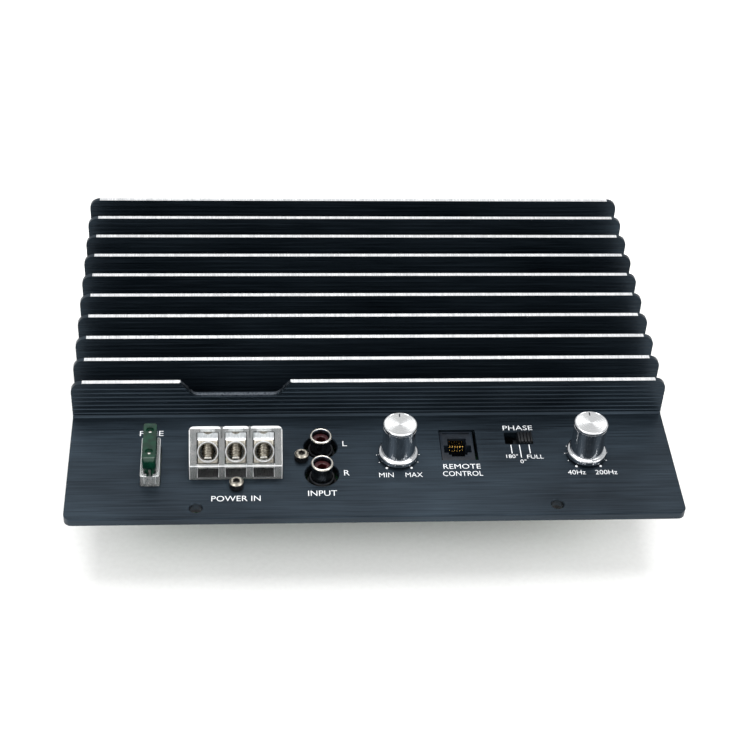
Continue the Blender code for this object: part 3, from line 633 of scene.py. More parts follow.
def piece(name, bm, finish, stands_for=(), rides_like=None, smooth_angle=38):
    """A finished piece. It rides with the frame node that it replaces, or with rides_like."""
    guide = rides_like or stands_for[0]
    mesh = mesh_of(bm)
    mesh.transform(PANEL_FRAME)
    mesh.name = name
    mesh.shade_smooth()
    mesh.set_sharp_from_angle(angle=math.radians(smooth_angle))
    mesh.materials.append(finish)
    obj = bpy.data.objects.new(name, mesh)
    bpy.context.scene.collection.objects.link(obj)
    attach(obj, frame["nodes"][guide]["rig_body"])
    if stands_for:
        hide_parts(*stands_for)
    return obj


def paint(obj, finish, wanted):
    """Gives one more finish to the faces whose centre, in panel millimetres, and normal are wanted."""
    obj.data.materials.append(finish)
    index = len(obj.data.materials) - 1
    for face in obj.data.polygons:
        if wanted(TO_PANEL @ face.center, face.normal):
            face.material_index = index


# ---------------------------------------------------------------- panel, fins and legends

FRONT_STRIP = 56.0
FIN_COUNT = 10
FIN_PITCH = 13.4
FIN_THICK = 1.8
FIN_CORNER = 4.5
RIB_COUNT = 7
RIB_PITCH = 2.1
RIB_FIRST = 3.2
RIB_PROUD = 0.25
SHALLOW_RIB = 0.1
RIB_FOOT_HALF = 0.4
RIB_CREST_HALF = 0.12
ROOT = 0.8
EDGE = 0.5
PANEL_CORNER = 3.0
MOUNT_X = 68.5
MOUNT_FROM_EDGE = 5.5
MOUNT_YS = (MOUNT_FROM_EDGE, PANEL_DEPTH - MOUNT_FROM_EDGE)
MOUNT_SPOTS = [(x, y) for x in (-MOUNT_X, MOUNT_X) for y in MOUNT_YS]
MOUNT_HOLE = 2.4
RCA_HOLE = 6.5
SHAFT_HOLE = 3.7
SCREW_HOLE = 1.8
CUT_MARGIN = 0.3
JACK_CUT = ((26.4, 29.7), (40.9, 46.8))
SWITCH_CUT = ((52.3, 38.4), (63.5, 45.0))
TERMINAL_LOW, TERMINAL_HIGH = panel_box("terminal_housing")
TERMINAL_X = (TERMINAL_LOW.x + TERMINAL_HIGH.x) / 2


def ribbed_face(y, outward, proud):
    """Points up one face of a fin, from its root to its top, with the extruded ribs on it."""
    points = [(y + outward * ROOT, 0.0), (y, ROOT)]
    for i in reversed(range(RIB_COUNT)):
        middle = FIN_TOP - RIB_FIRST - i * RIB_PITCH
        points += [(y, middle - RIB_FOOT_HALF), (y + outward * proud, middle - RIB_CREST_HALF)]
        points += [(y + outward * proud, middle + RIB_CREST_HALF), (y, middle + RIB_FOOT_HALF)]
    return points + [(y, FIN_TOP)]


def extrusion_section():
    under = -PANEL_THICK
    points = [(0.0, -EDGE), (0.0, under), (PANEL_DEPTH, under)]
    points += [(PANEL_DEPTH, -EDGE), (PANEL_DEPTH - EDGE, 0.0)]
    for i in reversed(range(FIN_COUNT)):
        front = FRONT_STRIP + i * FIN_PITCH
        proud = SHALLOW_RIB if i else RIB_PROUD
        points += ribbed_face(front + FIN_THICK, 1, proud)
        points += reversed(ribbed_face(front, -1, proud))
    return points + [(EDGE, 0.0)]


def hole_cutters(radius, spots, flare=0.3):
    """Through holes with their upper rims broken."""
    below = -PANEL_THICK - 1
    profile = [(0, 1), (radius + flare, 1), (radius + flare, 0)]
    profile += [(radius, -flare), (radius, below), (0, below)]
    return [placed(lathe(profile, 40), (x, y, 0)) for x, y in spots]


def plan_spots(*nodes):
    """Where frame nodes stand on the panel."""
    return [tuple(panel_centre(name).xy) for name in nodes]


def box_cutter(low, high, corner):
    return block((*low, -PANEL_THICK - 1), (*high, 1.0), corner)


def notch_outline(grow=0.0):
    """The notch over the power terminal: a level floor, rounded corners and sloping sides."""
    top_half, floor_half, floor, corner = 22.2 + grow, 18.8 + grow, 10.8 - grow, 5.0
    above = FIN_TOP + 2
    left = arc((-floor_half + corner, floor + corner), corner, -160, -90)
    right = arc((floor_half - corner, floor + corner), corner, -90, -20)
    rim = [(top_half + 1, above), (-top_half - 1, above)]
    return [(TERMINAL_X + x, z) for x, z in left + right + rim]


def clearance(node, margin):
    """Low and high corners, in plan, of the cut-out round a node."""
    low, high = panel_box(node)
    return (low.x - margin, low.y - margin), (high.x + margin, high.y + margin)


def make_heatsink():
    below, above = -PANEL_THICK - 1, FIN_TOP + 1
    body = prism(extrusion_section(), -HALF_WIDTH, HALF_WIDTH, axis=0)
    right = arc((HALF_WIDTH - FIN_CORNER, FIN_TOP - FIN_CORNER), FIN_CORNER, 0, 90, 8)
    left = arc((-HALF_WIDTH + FIN_CORNER, FIN_TOP - FIN_CORNER), FIN_CORNER, 90, 180, 8)
    ends = [(-HALF_WIDTH, below), (HALF_WIDTH, below)] + right + left
    body = combined(body, prism(ends, -1, PANEL_DEPTH + 1, axis=1), "INTERSECT")
    plan_low, plan_high = (-HALF_WIDTH, 0, below - 1), (HALF_WIDTH, PANEL_DEPTH, above + 1)
    body = combined(body, block(plan_low, plan_high, PANEL_CORNER, segments=6), "INTERSECT")
    fin_front = FRONT_STRIP - 1
    body = cut(
        body,
        prism(notch_outline(), fin_front, FRONT_STRIP + FIN_THICK + 1, axis=1),
        prism(notch_outline(0.3), fin_front, FRONT_STRIP + 0.3, axis=1),
    )
    holes = hole_cutters(MOUNT_HOLE, MOUNT_SPOTS)
    holes += hole_cutters(RCA_HOLE, plan_spots("rca_base_left", "rca_base_right"))
    holes += hole_cutters(SHAFT_HOLE, plan_spots("gain_shaft", "filter_shaft"))
    holes += hole_cutters(SCREW_HOLE, plan_spots("panel_screw_1", "panel_screw_2"))
    holes += [
        box_cutter(*clearance("terminal_housing", CUT_MARGIN), 0.8),
        box_cutter(*clearance("fuse_holder", CUT_MARGIN), 0.8),
        box_cutter(*JACK_CUT, 0.3),
        box_cutter(*SWITCH_CUT, 0.4),
    ]
    body = combined(body, together(*holes))
    heatsink = piece("finned_panel", body, ANODISED, ["heatsink"])
    heatsink.data.materials.append(MACHINED_AND_HIGHLIGHT)
    top = (PANEL_FRAME @ Vector((0, 0, FIN_TOP))).z
    for face in heatsink.data.polygons:
        if face.normal.z > 0.99 and abs(face.center.z - top) < 0.00001:
            face.material_index = 1
    fin_rear = FRONT_STRIP + FIN_THICK + 0.1

    reach, lowest = 23.4, 10.0

    def notch_cut(at, n):
        across = abs(at.x - TERMINAL_X) < reach and FRONT_STRIP - 0.1 < at.y < fin_rear
        return across and at.z > lowest and n.z > 0.2 and abs(n.y) < 0.3

    # Painted highlight: the notch's upward faces get the lighter grey.
    paint(heatsink, NOTCH_HIGHLIGHT, notch_cut)


INK_LOW = 0.012
INK_HIGH = 0.03


def printed(words, x, y, height, width):
    """Flat white lettering in Blender's own font, sized to a cap height and a width."""
    curve = bpy.data.curves.new("words", "FONT")
    curve.body = words
    curve.align_x = "CENTER"
    curve.align_y = "CENTER"
    curve.offset = -0.006
    curve.resolution_u = 3
    guide = bpy.data.objects.new("words", curve)
    bpy.context.scene.collection.objects.link(guide)
    graph = bpy.context.evaluated_depsgraph_get()
    flat = bpy.data.meshes.new_from_object(guide.evaluated_get(graph))
    bpy.data.objects.remove(guide, do_unlink=True)
    bm = bmesh.new()
    bm.from_mesh(flat)
    bpy.data.meshes.remove(flat)
    bmesh.ops.remove_doubles(bm, verts=bm.verts, dist=0.0001)
    bmesh.ops.dissolve_limit(bm, angle_limit=0.01, verts=bm.verts, edges=bm.edges)
    low = [min(v.co[k] for v in bm.verts) for k in (0, 1)]
    high = [max(v.co[k] for v in bm.verts) for k in (0, 1)]
    stretch = Matrix.Diagonal((width / (high[0] - low[0]), height / (high[1] - low[1]), 1, 1))
    middle = Matrix.Translation((-(low[0] + high[0]) / 2, -(low[1] + high[1]) / 2, 0))
    bm.transform(Matrix.Translation((x, y, INK_LOW)) @ stretch @ middle)
    thick = bmesh.ops.extrude_face_region(bm, geom=list(bm.faces))
    raised = [v for v in thick["geom"] if isinstance(v, bmesh.types.BMVert)]
    bmesh.ops.translate(bm, verts=raised, vec=(0, 0, INK_HIGH - INK_LOW))
    bmesh.ops.recalc_face_normals(bm, faces=bm.faces)
    return bm


# The words, then where their middle stands, their cap height and their width
WORDS = (
    ("POWER IN", -53.5, 10.2, 2.8, 18.5),
    ("INPUT", -20.7, 12.5, 2.8, 11.0),
    ("L", -11.1, 39.5, 2.8, 1.7),
    ("R", -11.0, 23.3, 2.8, 2.1),
    ("MIN", 4.2, 21.9, 2.4, 5.6),
    ("MAX", 14.9, 21.9, 2.4, 6.6),
    ("REMOTE", 33.9, 26.2, 2.6, 14.5),
    ("CONTROL", 33.9, 22.3, 2.6, 15.5),
    ("PHASE", 58.2, 47.6, 2.6, 11.8),
    ("180°", 54.2, 31.6, 2.1, 4.6),
    ("0°", 58.3, 28.7, 2.1, 2.4),
    ("FULL", 63.3, 31.2, 2.1, 6.4),
    ("40Hz", 78.4, 22.4, 2.4, 7.0),
    ("200Hz", 90.0, 22.3, 2.4, 8.6),
    ("FUSE", -86.3, 46.1, 2.8, 9.2),
)


def dial_marks(centre):
    """A dot of ink every 29 degrees round a knob, over its turn of 290 degrees, larger at both ends."""
    marks = []
    radius = 8.35
    steps = 10
    end_dot, dot = 0.5, 0.2
    for i in range(steps + 1):
        angle = math.radians(-145 + 290 * i / steps)
        size = end_dot if i in (0, steps) else dot
        at = (centre.x + radius * math.sin(angle), centre.y + radius * math.cos(angle), 0)
        marks.append(placed(rod(size, INK_LOW, INK_HIGH, 20), at))
    return marks


def make_legends():
    shapes = [printed(*words) for words in WORDS]
    for name in ("gain_knob", "filter_knob"):
        shapes += dial_marks(panel_centre(name))
    stroke_half, stroke_top = 0.17, 37.9
    for x, length in ((54.4, 4.8), (57.8, 7.1), (61.6, 4.8)):
        foot = (x - stroke_half, stroke_top - length, INK_LOW)
        shapes.append(block(foot, (x + stroke_half, stroke_top, INK_HIGH)))
    piece("panel_legends", together(*shapes), INK, rides_like="heatsink")


# ---------------------------------------------------------------- knobs and potentiometers


def knob_profile(outer, flange, top, foot, bore, bore_top):
    """Half section of a turned knob: spun end, rolled rim, shadow groove, straight side and flange."""
    rim = 0.45
    run = [(0, top - 0.12), (outer - 0.55, top - 0.12), (outer - 0.45, top)]
    run += arc((outer - rim, top - rim), rim, 80, 0, 5)
    side = outer - 0.05
    groove = outer - 0.3
    run += [(outer, top - 1.15), (groove, top - 1.25), (groove, top - 1.6), (side, top - 1.7)]
    run += [(side, foot + 2.6)]
    run += arc((outer + 0.35, foot + 2.6), 0.4, 180, 250, 4)
    run += arc((flange - 0.7, foot + 1.5), 0.7, 80, 0, 6)
    run += [(flange, foot + 0.15), (flange - 0.15, foot)]
    return run + [(bore, foot), (bore, bore_top), (0, bore_top)]


def make_knob(side):
    name = f"{side}_knob"
    low, high = panel_box(name)
    centre = panel_centre(name)
    shaft_low, shaft_high = panel_box(f"{side}_shaft")
    profile = knob_profile(6.5, high.x - centre.x, high.z, low.z, 3.3, shaft_high.z + 0.3)
    body = placed(lathe(profile, 96), (centre.x, centre.y, 0))
    knob = piece(f"{side}_knob_turned", body, CHROME, [name])
    spun = spun_chrome(f"spun_chrome_{side}", centre)
    spun_radius = 6.0

    def end_face(at, n):
        return n.z > 0.9 and at.z > high.z - 0.2 and (at.xy - centre.xy).length < spun_radius

    paint(knob, spun, end_face)
    mark_top = high.z - 0.04
    mark = block((-0.22, 4.0, mark_top - 0.1), (0.22, 5.7, mark_top), soft=0.03)
    placed(mark, (centre.x, centre.y, 0))
    piece(f"{side}_knob_pointer", mark, GREY, rides_like=name)
    shaft = rod(3.0, shaft_low.z, shaft_high.z, 48, 0.4)
    slit = slab(0.5, 4, shaft_high.z - 6, shaft_high.z + 1)
    shaft = placed(cut(shaft, slit), (centre.x, centre.y, 0))
    piece(f"{side}_shaft_turned", shaft, NICKEL, [f"{side}_shaft"])
    make_potentiometer(side, centre)


def make_potentiometer(side, centre):
    """A folded steel can on a wafer, with a threaded bush round the shaft, all three in the zinc finish."""
    low, high = panel_box(f"{side}_pot")
    half_x, half_y = (high.x - low.x) / 2, (high.y - low.y) / 2
    can_top = low.z + 6.6
    can = slab(half_x, half_y, low.z + 0.8, can_top, 0.8, soft=0.3)
    wafer = slab(half_x, half_y, low.z, low.z + 0.8, 0.4)
    bush = threaded(4.3, 4.6, 0.75, can_top - 0.2, high.z, 0.3)
    can = cut(can, rod(3.3, low.z + 0.9, high.z + 1, 40))
    shapes = [can, wafer, bush]
    piece(f"{side}_pot_can", placed(together(*shapes), (centre.x, centre.y, 0)), ZINC, [f"{side}_pot"])


def threaded(core, outer, pitch, low, high, end=0.0, bore=3.3):
    """A tube with a screw thread wound round it, or a solid core where bore is 0."""
    if bore:
        profile = [(core - end, high), (core, high - end), (core, low), (bore, low), (bore, high)]
        barrel = lathe(profile, 48)
    else:
        barrel = rod(core, low, high, 48, end)
    return together(barrel, ridge(core, outer, pitch, low + pitch / 2, high - pitch))


def ridge(core, outer, pitch, low, high, steps=28):
    """The helical ridge of a screw thread: a triangle swept along a helix."""
    bm = bmesh.new()
    turns = (high - low) / pitch
    count = int(turns * steps)
    rings = []
    for i in range(count + 1):
        angle = math.tau * i / steps
        level = low + pitch * i / steps
        fade = min(1.0, i / 6, (count - i) / 6)
        tip = core + (outer - core) * fade
        across = Vector((math.cos(angle), math.sin(angle), 0))
        root, half_root, half_tip = core - 0.1, 0.42 * pitch, 0.06 * pitch
        corners = ((root, -half_root), (tip, -half_tip), (tip, half_tip), (root, half_root))
        rings.append([bm.verts.new(across * radius + Vector((0, 0, level + up))) for radius, up in corners])
    return skinned(bm, rings)


# ---------------------------------------------------------------- power terminal

SLANT = math.sqrt(0.5)
TILT = 45
LIP = 6.7
CREST_FLAT = 1.0
CAGE_START, CAGE_END, CAGE_RECESS, CAGE_DEPTH = 1.2, 12.9, 0.8, 9.0
ENTRY_ALONG, ENTRY_RADIUS = 5.5, 3.2
CLAMP_CORE, CLAMP_THREAD, CLAMP_PITCH = 2.1, 2.7, 0.95
CAGE_WAY_RADIUS, CLEAR_WAY_RADIUS = 2.78, 2.9


def on_slant(along, depth):
    """(y, z) of a point that far up the terminal's sloping face and that deep behind it."""
    return TERMINAL_LOW.y + (along + depth) * SLANT, LIP + (along - depth) * SLANT


def cell_xs():
    return [panel_centre(f"wire_cage_{i}").x for i in (1, 2, 3)]


def make_terminal_housing():
    """Clear moulding: legs with windows between them, a sloping face with three pockets, and a screw face."""
    top, front, rear = TERMINAL_HIGH.z, TERMINAL_LOW.y, TERMINAL_HIGH.y
    crest = front + top - LIP
    shoulder = top - (rear - crest - CREST_FLAT)
    floor = TERMINAL_LOW.z
    section = [(front, floor), (rear, floor), (rear, shoulder)]
    section += [(crest + CREST_FLAT, top), (crest, top), (front, LIP)]
    body = prism(section, TERMINAL_LOW.x, TERMINAL_HIGH.x, axis=0, soft=0.3)
    cutters = []
    half = 4.2
    pocket_low = (-half, CAGE_START - 0.3, -CAGE_RECESS - CAGE_DEPTH - 0.3)
    pocket_high = (half, CAGE_END + 0.3, 2.0)
    middle_y, middle_z = on_slant(CAGE_END, CAGE_RECESS + CAGE_DEPTH / 2)
    for x in cell_xs():
        pocket = block(pocket_low, pocket_high, 0.35)
        cutters.append(placed(pocket, (x, front, LIP), (TILT, 0, 0)))
        cutters.append(block((x - half, front - 1, 0.9), (x + half, front + 5.5, LIP - 1.0), 0.3, axis=1))
        way = rod(CLEAR_WAY_RADIUS, 0, 16, 40)
        cutters.append(placed(way, (x, middle_y, middle_z), (-TILT, 0, 0)))
        vee = [(x - 0.5, LIP - 0.6), (x + 0.5, LIP - 0.6), (x, LIP - 1.4)]
        cutters.append(prism(vee, front - 1, front + 0.5, axis=1))
    xs = cell_xs()
    reach = (top - LIP) / SLANT + CREST_FLAT * SLANT
    gap_half, gap_length = 0.28, 4.6
    for x in ((xs[0] + xs[1]) / 2, (xs[1] + xs[2]) / 2):
        round_off = 1.4
        gap = [(-gap_half, reach - gap_length), (gap_half, reach - gap_length)]
        gap += arc((gap_half + round_off, reach - round_off), round_off, 180, 90, 5)
        gap += [(1.7, reach + 2), (-1.7, reach + 2)]
        gap += arc((-gap_half - round_off, reach - round_off), round_off, 90, 0, 5)
        cutters.append(placed(prism(gap, -4.0, 3.0), (x, front, LIP), (TILT, 0, 0)))
    for side in (-1, 1):
        wide, round_off = (TERMINAL_HIGH.x - TERMINAL_LOW.x) / 2, 2.0
        corner = arc(((wide - round_off), reach - round_off), round_off, 90, 0, 6)
        corner += [(wide + 1, reach - round_off), (wide + 1, reach + 2), (wide - round_off, reach + 2)]
        corner = [(side * a, b) for a, b in corner]
        cutters.append(placed(prism(corner, -20.0, 3.0), (TERMINAL_X, front, LIP), (TILT, 0, 0)))
    housing = piece("terminal_moulding", cut(body, *cutters), CLEAR, ["terminal_housing"])

    def narrow_edge(at, n):
        slanting = abs(abs(n.y) - SLANT) < 0.02 and abs(n.z - abs(n.y)) < 0.03
        return not slanting and max(abs(n.x), abs(n.y), abs(n.z)) < 0.985

    def lit_ledge(at, n):
        return n.z > 0.9 and (at.z > top - 0.1 or LIP - 1.6 < at.z < LIP)

    paint(housing, WATER_CLEAR, lambda at, n: at.z < LIP - 0.8 and at.y > front + 0.3)
    # The board's green would show through the windows, so the hidden lower faces are painted black as shade.
    paint(housing, BLACK, lambda at, n: at.z < -0.5 and (n.z < -0.9 or n.y > 0.9))
    # Painted highlight: the bevels and lit ledges take the milky copy.
    paint(housing, CLEAR_EDGE_HIGHLIGHT, narrow_edge)
    paint(housing, CLEAR_EDGE_HIGHLIGHT, lit_ledge)


def make_wire_cage(number, x):
    """A plated block with a dished wire entry and a tapped way for its screw."""
    half = 3.9
    low = (-half, CAGE_START, -CAGE_RECESS - CAGE_DEPTH)
    high = (half, CAGE_END, -CAGE_RECESS)
    body = block(low, high, 0.5, axis=1, soft=0.12)
    back = low[2] - 1
    dished = ENTRY_RADIUS + 0.45
    face = high[2]
    entry = [(0, 1), (dished, 1), (dished, face), (ENTRY_RADIUS, face - 0.5), (ENTRY_RADIUS, back), (0, back)]
    entry = placed(lathe(entry, 48), (0, ENTRY_ALONG, 0))
    way_start = (0, ENTRY_ALONG, -CAGE_RECESS - CAGE_DEPTH / 2)
    screw_way = placed(rod(CAGE_WAY_RADIUS, 0, CAGE_END, 40), way_start, (-90, 0, 0))
    facet = [(9.9, face), (14.5, face - 3.4), (14.5, 2), (9.9, 2)]
    body = cut(body, entry, screw_way, prism(facet, -half - 1, half + 1, axis=0))
    bead = [(4.15, face - 0.1), (4.1, face + 0.25), (3.9, face + 0.5), (3.7, face + 0.5)]
    bead += [(3.5, face + 0.25), (3.45, face - 0.1)]
    ring = placed(lathe(bead, 64), (0, ENTRY_ALONG, 0))
    placed(body, (x, TERMINAL_LOW.y, LIP), (TILT, 0, 0))
    cage = piece(f"terminal_cage_{number}", body, DULL_NICKEL_AND_HIGHLIGHT, [f"wire_cage_{number}"])
    # Painted highlight: the cage's level faces above the lip, the facet among them, take the bright machined
    # finish.
    paint(cage, MACHINED_AND_HIGHLIGHT, lambda at, n: n.z > 0.95 and at.z > LIP)
    placed(ring, (x, TERMINAL_LOW.y, LIP), (TILT, 0, 0))
    piece(f"terminal_ring_{number}", ring, MACHINED_AND_HIGHLIGHT, rides_like=f"wire_cage_{number}")


def make_clamp_screw(number, x):
    """Threaded headless screw with a hexagon socket, and the pad that its tip presses on the wire."""
    screw_low = ENTRY_ALONG - ENTRY_RADIUS + 1.4
    pad_low = ENTRY_ALONG - ENTRY_RADIUS + 0.6
    length = CAGE_END - screw_low + 0.6
    depth = CAGE_RECESS + CAGE_DEPTH / 2
    core = cut(rod(CLAMP_CORE, 0, length, 40, 0.35), rod(1.45, length - 3.0, length + 1, 6))
    # Real threads are 0.8 mm apart; drawn at 0.95 mm so that they show.
    body = together(core, ridge(CLAMP_CORE, CLAMP_THREAD, CLAMP_PITCH, 0.5, length - 0.6))
    placed(body, (x, *on_slant(screw_low, depth)), (-TILT, 0, 0))
    piece(f"clamp_screw_threaded_{number}", body, DULL_NICKEL_AND_HIGHLIGHT, [f"clamp_screw_{number}"])
    pad = slab(1.5, 2.3, 0, 0.7, 0.4, soft=0.12)
    placed(pad, (x, *on_slant(pad_low, depth)), (-TILT, 0, 0))
    piece(f"pressure_pad_pressed_{number}", pad, TIN, [f"pressure_pad_{number}"])


# ---------------------------------------------------------------- fuse


PRONG_SIDES = (-5.8, 5.8)


def make_fuse():
    """Blade fuse: wide translucent head with two probe holes, slimmer foot and a tinned element."""
    low, high = panel_box("fuse_body")
    x, y = panel_centre("fuse_body").xy
    neck = high.z - 6.2
    head = slab(2.55, 9.55, neck, high.z, 0.8, soft=0.25)
    foot = slab(1.8, 8.7, low.z, neck + 0.5, 0.3, soft=0.2)
    body = combined(head, foot, "UNION")
    cavity = slab(0.6, 8.7, low.z - 1, high.z - 1.6)
    dish = [(0, 1), (1.5, 1), (1.5, -0.5), (1.3, -0.8), (0, -0.8)]
    dishes = [placed(lathe(dish, 32), (0, side, high.z)) for side in PRONG_SIDES]
    probes = [placed(rod(0.75, -2.5, 0, 24), (0, side, high.z)) for side in PRONG_SIDES]
    windows = []
    for near in (-4.4, 2.0):
        windows.append(block((near, -4.0, neck + 1.2), (near + 2.4, 4.0, high.z - 1.2), 0.4, axis=0))
    body = cut(body, cavity, *dishes, *probes, *windows)
    piece("fuse_moulding", placed(body, (x, y, 0)), GREEN, ["fuse_body"])
    element_low, element_high = panel_box("fuse_element")
    inner, reach = 3.2, 8.4
    foot_z, shoulder = element_low.z, element_high.z
    link = low.z + 4.0
    outline = [(-reach, foot_z + 1), (-reach + 1, foot_z), (-inner - 1, foot_z), (-inner, foot_z + 1)]
    outline += [(-inner, link)] + arc((0, link + 0.2), 1.6, 160, 20, 8) + [(inner, link)]
    outline += [(inner, foot_z + 1), (inner + 1, foot_z), (reach - 1, foot_z), (reach, foot_z + 1)]
    outline += [(reach, shoulder), (inner, shoulder), (inner, link + 2)]
    outline += arc((0, link + 1.4), 1.6, 20, 160, 8)
    outline += [(-inner, link + 2), (-inner, shoulder), (-reach, shoulder)]
    post_low, post_high = shoulder - 0.5, high.z - 0.95
    posts = [placed(rod(0.62, post_low, post_high, 20, 0.1), (0, side, 0)) for side in PRONG_SIDES]
    element = together(prism(outline, -0.32, 0.32, axis=0), *posts)
    piece("fuse_element_pressed", placed(element, (x, y, 0)), TIN, ["fuse_element"])


def make_fuse_holder():
    """Clear moulding with a seat for the fuse, and the two sprung clips in it."""
    low, high = panel_box("fuse_holder")
    x, y = panel_centre("fuse_holder").xy
    fuse_low = panel_box("fuse_body")[0]
    body = block((low.x - x, low.y - y, low.z), (high.x - x, high.y - y, high.z), 0.8, soft=0.2)
    seat_floor = fuse_low.z - 0.3
    seat = slab(2.3, 9.2, seat_floor, high.z + 1, 0.3)
    pockets = [block((-1.6, side - 3.2, -11.0), (1.6, side + 3.2, seat_floor + 1)) for side in PRONG_SIDES]
    finger_gap = slab(1.2, 20, high.z - 1.2, high.z + 1)
    body = cut(body, seat, *pockets, finger_gap)
    holder = piece("fuse_holder_moulding", placed(body, (x, y, 0)), CLEAR, ["fuse_holder"])
    # Painted highlight: the holder's bevels above the panel take the milky copy.
    paint(holder, CLEAR_EDGE_HIGHLIGHT, lambda at, n: max(abs(n.x), abs(n.y), abs(n.z)) < 0.985 and at.z > 0)
    for number in (1, 2):
        clip_low, clip_high = panel_box(f"fuse_clip_{number}")
        middle = panel_centre(f"fuse_clip_{number}")
        clip = slab(1.2, 2.9, clip_low.z, clip_high.z, 0.4, axis=1, soft=0.1)
        slit = [(-0.45, -7.8), (0.45, -7.8), (0.45, -2.4), (0.9, -1), (-0.9, -1), (-0.45, -2.4)]
        clip = placed(cut(clip, prism(slit, -4, 4, axis=1)), (middle.x, middle.y, 0))
        piece(f"fuse_clip_sprung_{number}", clip, TIN, [f"fuse_clip_{number}"])


# ---------------------------------------------------------------- sockets and switch


RCA_WAIST = 3.95


def make_rca_socket(side):
    """Nickel sleeve with a rolled lip, standing in a black base, round a dark red insulator."""
    base_low, base_high = panel_box(f"rca_base_{side}")
    sleeve_low, sleeve_high = panel_box(f"rca_sleeve_{side}")
    insulator_low, insulator_high = panel_box(f"rca_insulator_{side}")
    x, y = panel_centre(f"rca_base_{side}").xy
    foot_radius = (base_high.x - base_low.x) / 2
    lip_radius = (sleeve_high.x - sleeve_low.x) / 2
    inner = 3.45
    top = sleeve_high.z
    step = -PANEL_THICK - 1.2
    bore = RCA_WAIST + 0.3
    base = [(4.7, base_high.z), (4.9, base_high.z - 0.2), (4.9, step), (foot_radius - 0.2, step)]
    base += [(foot_radius, step - 0.2), (foot_radius, base_low.z), (bore - 1.2, base_low.z)]
    base += [(bore - 1.2, sleeve_low.z - 0.3), (bore, sleeve_low.z - 0.3), (bore, base_high.z)]
    piece(f"rca_base_moulding_{side}", placed(lathe(base, 72), (x, y, 0)), BLACK, [f"rca_base_{side}"])
    roll = (lip_radius - inner) / 2 + 0.12
    centre = (lip_radius - roll, top - roll)
    lip_foot = top - 2 * roll
    sleeve = arc(centre, roll, 150, -60, 12) + [(RCA_WAIST, lip_foot - 0.1), (RCA_WAIST, sleeve_low.z)]
    sleeve += [(inner, sleeve_low.z), (inner, top - roll - 0.1)]
    sleeve = placed(lathe(sleeve, 80), (x, y, 0))
    rolled = piece(f"rca_sleeve_rolled_{side}", sleeve, NICKEL, [f"rca_sleeve_{side}"])

    # Painted shade: below the lip and inside the bore the sleeve takes the darker copy of the nickel.
    def in_shade(at, n):
        return at.z < lip_foot or (at.xy - Vector((x, y))).length < inner + 0.05

    paint(rolled, PAINTED_SHADE_NICKEL, in_shade)
    outer = (insulator_high.x - insulator_low.x) / 2
    face, foot = insulator_high.z, insulator_low.z
    insulator = [(outer - 0.15, face), (outer, face - 0.15), (outer, foot)]
    insulator += [(1.65, foot), (1.65, face - 0.2), (1.85, face)]
    piece(f"rca_core_{side}", placed(lathe(insulator, 56), (x, y, 0)), RED, [f"rca_insulator_{side}"])


def make_remote_jack():
    """Six-way modular socket facing up: stepped mouth for the latch, back slot, and six sprung wires."""
    low, high = panel_box("remote_jack")
    middle = (low.x + high.x) / 2
    face = high.z
    half = (high.x - low.x) / 2 - 1.15
    body = block(tuple(low), tuple(high), soft=0.2)
    cutters = []
    steps = ((half, 34.6, 38.6), (3.7, 33.4, 42.4), (2.6, 32.4, 42.2))
    for i, (wide, front, back) in enumerate(steps):
        mouth_low = (middle - wide, front, face - 11 + i * 0.2)
        mouth_high = (middle + wide, back, face + 1)
        cutters.append(block(mouth_low, mouth_high))
    cutters.append(block((middle - half, 44.4, face - 0.4), (middle + half, high.y - 0.9, face + 1)))
    cutters.append(block((middle - 2.9, 42.0, face - 4.6), (middle + 2.9, 45.3, face - 1.1)))
    piece("remote_socket", cut(body, *cutters), GREY, ["remote_jack"])
    top = face - 1.4
    wires = [block((middle - 2.6, 44.75, face - 3.6), (middle + 2.6, 45.25, top), soft=0.05)]
    wire_pitch = 1.02
    for i in range(6):
        x = middle + (i - 2.5) * wire_pitch
        route = [(x, 44.95, top - 0.5), (x, 43.6, top - 1.9), (x, 42.2, top - 2.2), (x, 41.2, top - 1.3)]
        route += [(x, 40.7, top - 1.0), (x, 40.4, top - 1.3), (x, 40.4, top - 3.4)]
        wires.append(wire(route, 0.14))
    piece("remote_socket_wires", together(*wires), GOLD, ["jack_contacts"])


def make_phase_switch():
    """Slide switch: body under the panel's slot, and a ribbed black slider."""
    low, high = panel_box("phase_switch")
    body = block(tuple(low), tuple(high), soft=0.2)
    body = cut(body, block((50.7, 38.2, -9.0), (65.1, 45.2, 0)))
    piece("phase_switch_body", body, BLACK, ["phase_switch"])
    slider_high = panel_box("phase_slider")[1]
    middle = panel_centre("phase_slider")
    half_x, half_y = 2.8, 3.0
    button = slab(half_x, half_y, -6, slider_high.z, 0.4, soft=0.15)
    grooves = [
        prism([(x - 0.35, 3.0), (x + 0.35, 3.0), (x + 0.2, 0.3), (x - 0.2, 0.3)], -5, 5, axis=1)
        for x in (-1.95, -0.65, 0.65, 1.95)
    ]
    foot = block((-half_x - 1.2, -half_y + 0.1, -8.6), (half_x + 1.2, half_y - 0.1, -3.8))
    shape = together(cut(button, *grooves), foot)
    piece("phase_slider_button", placed(shape, (middle.x, middle.y, 0)), BLACK, ["phase_slider"])


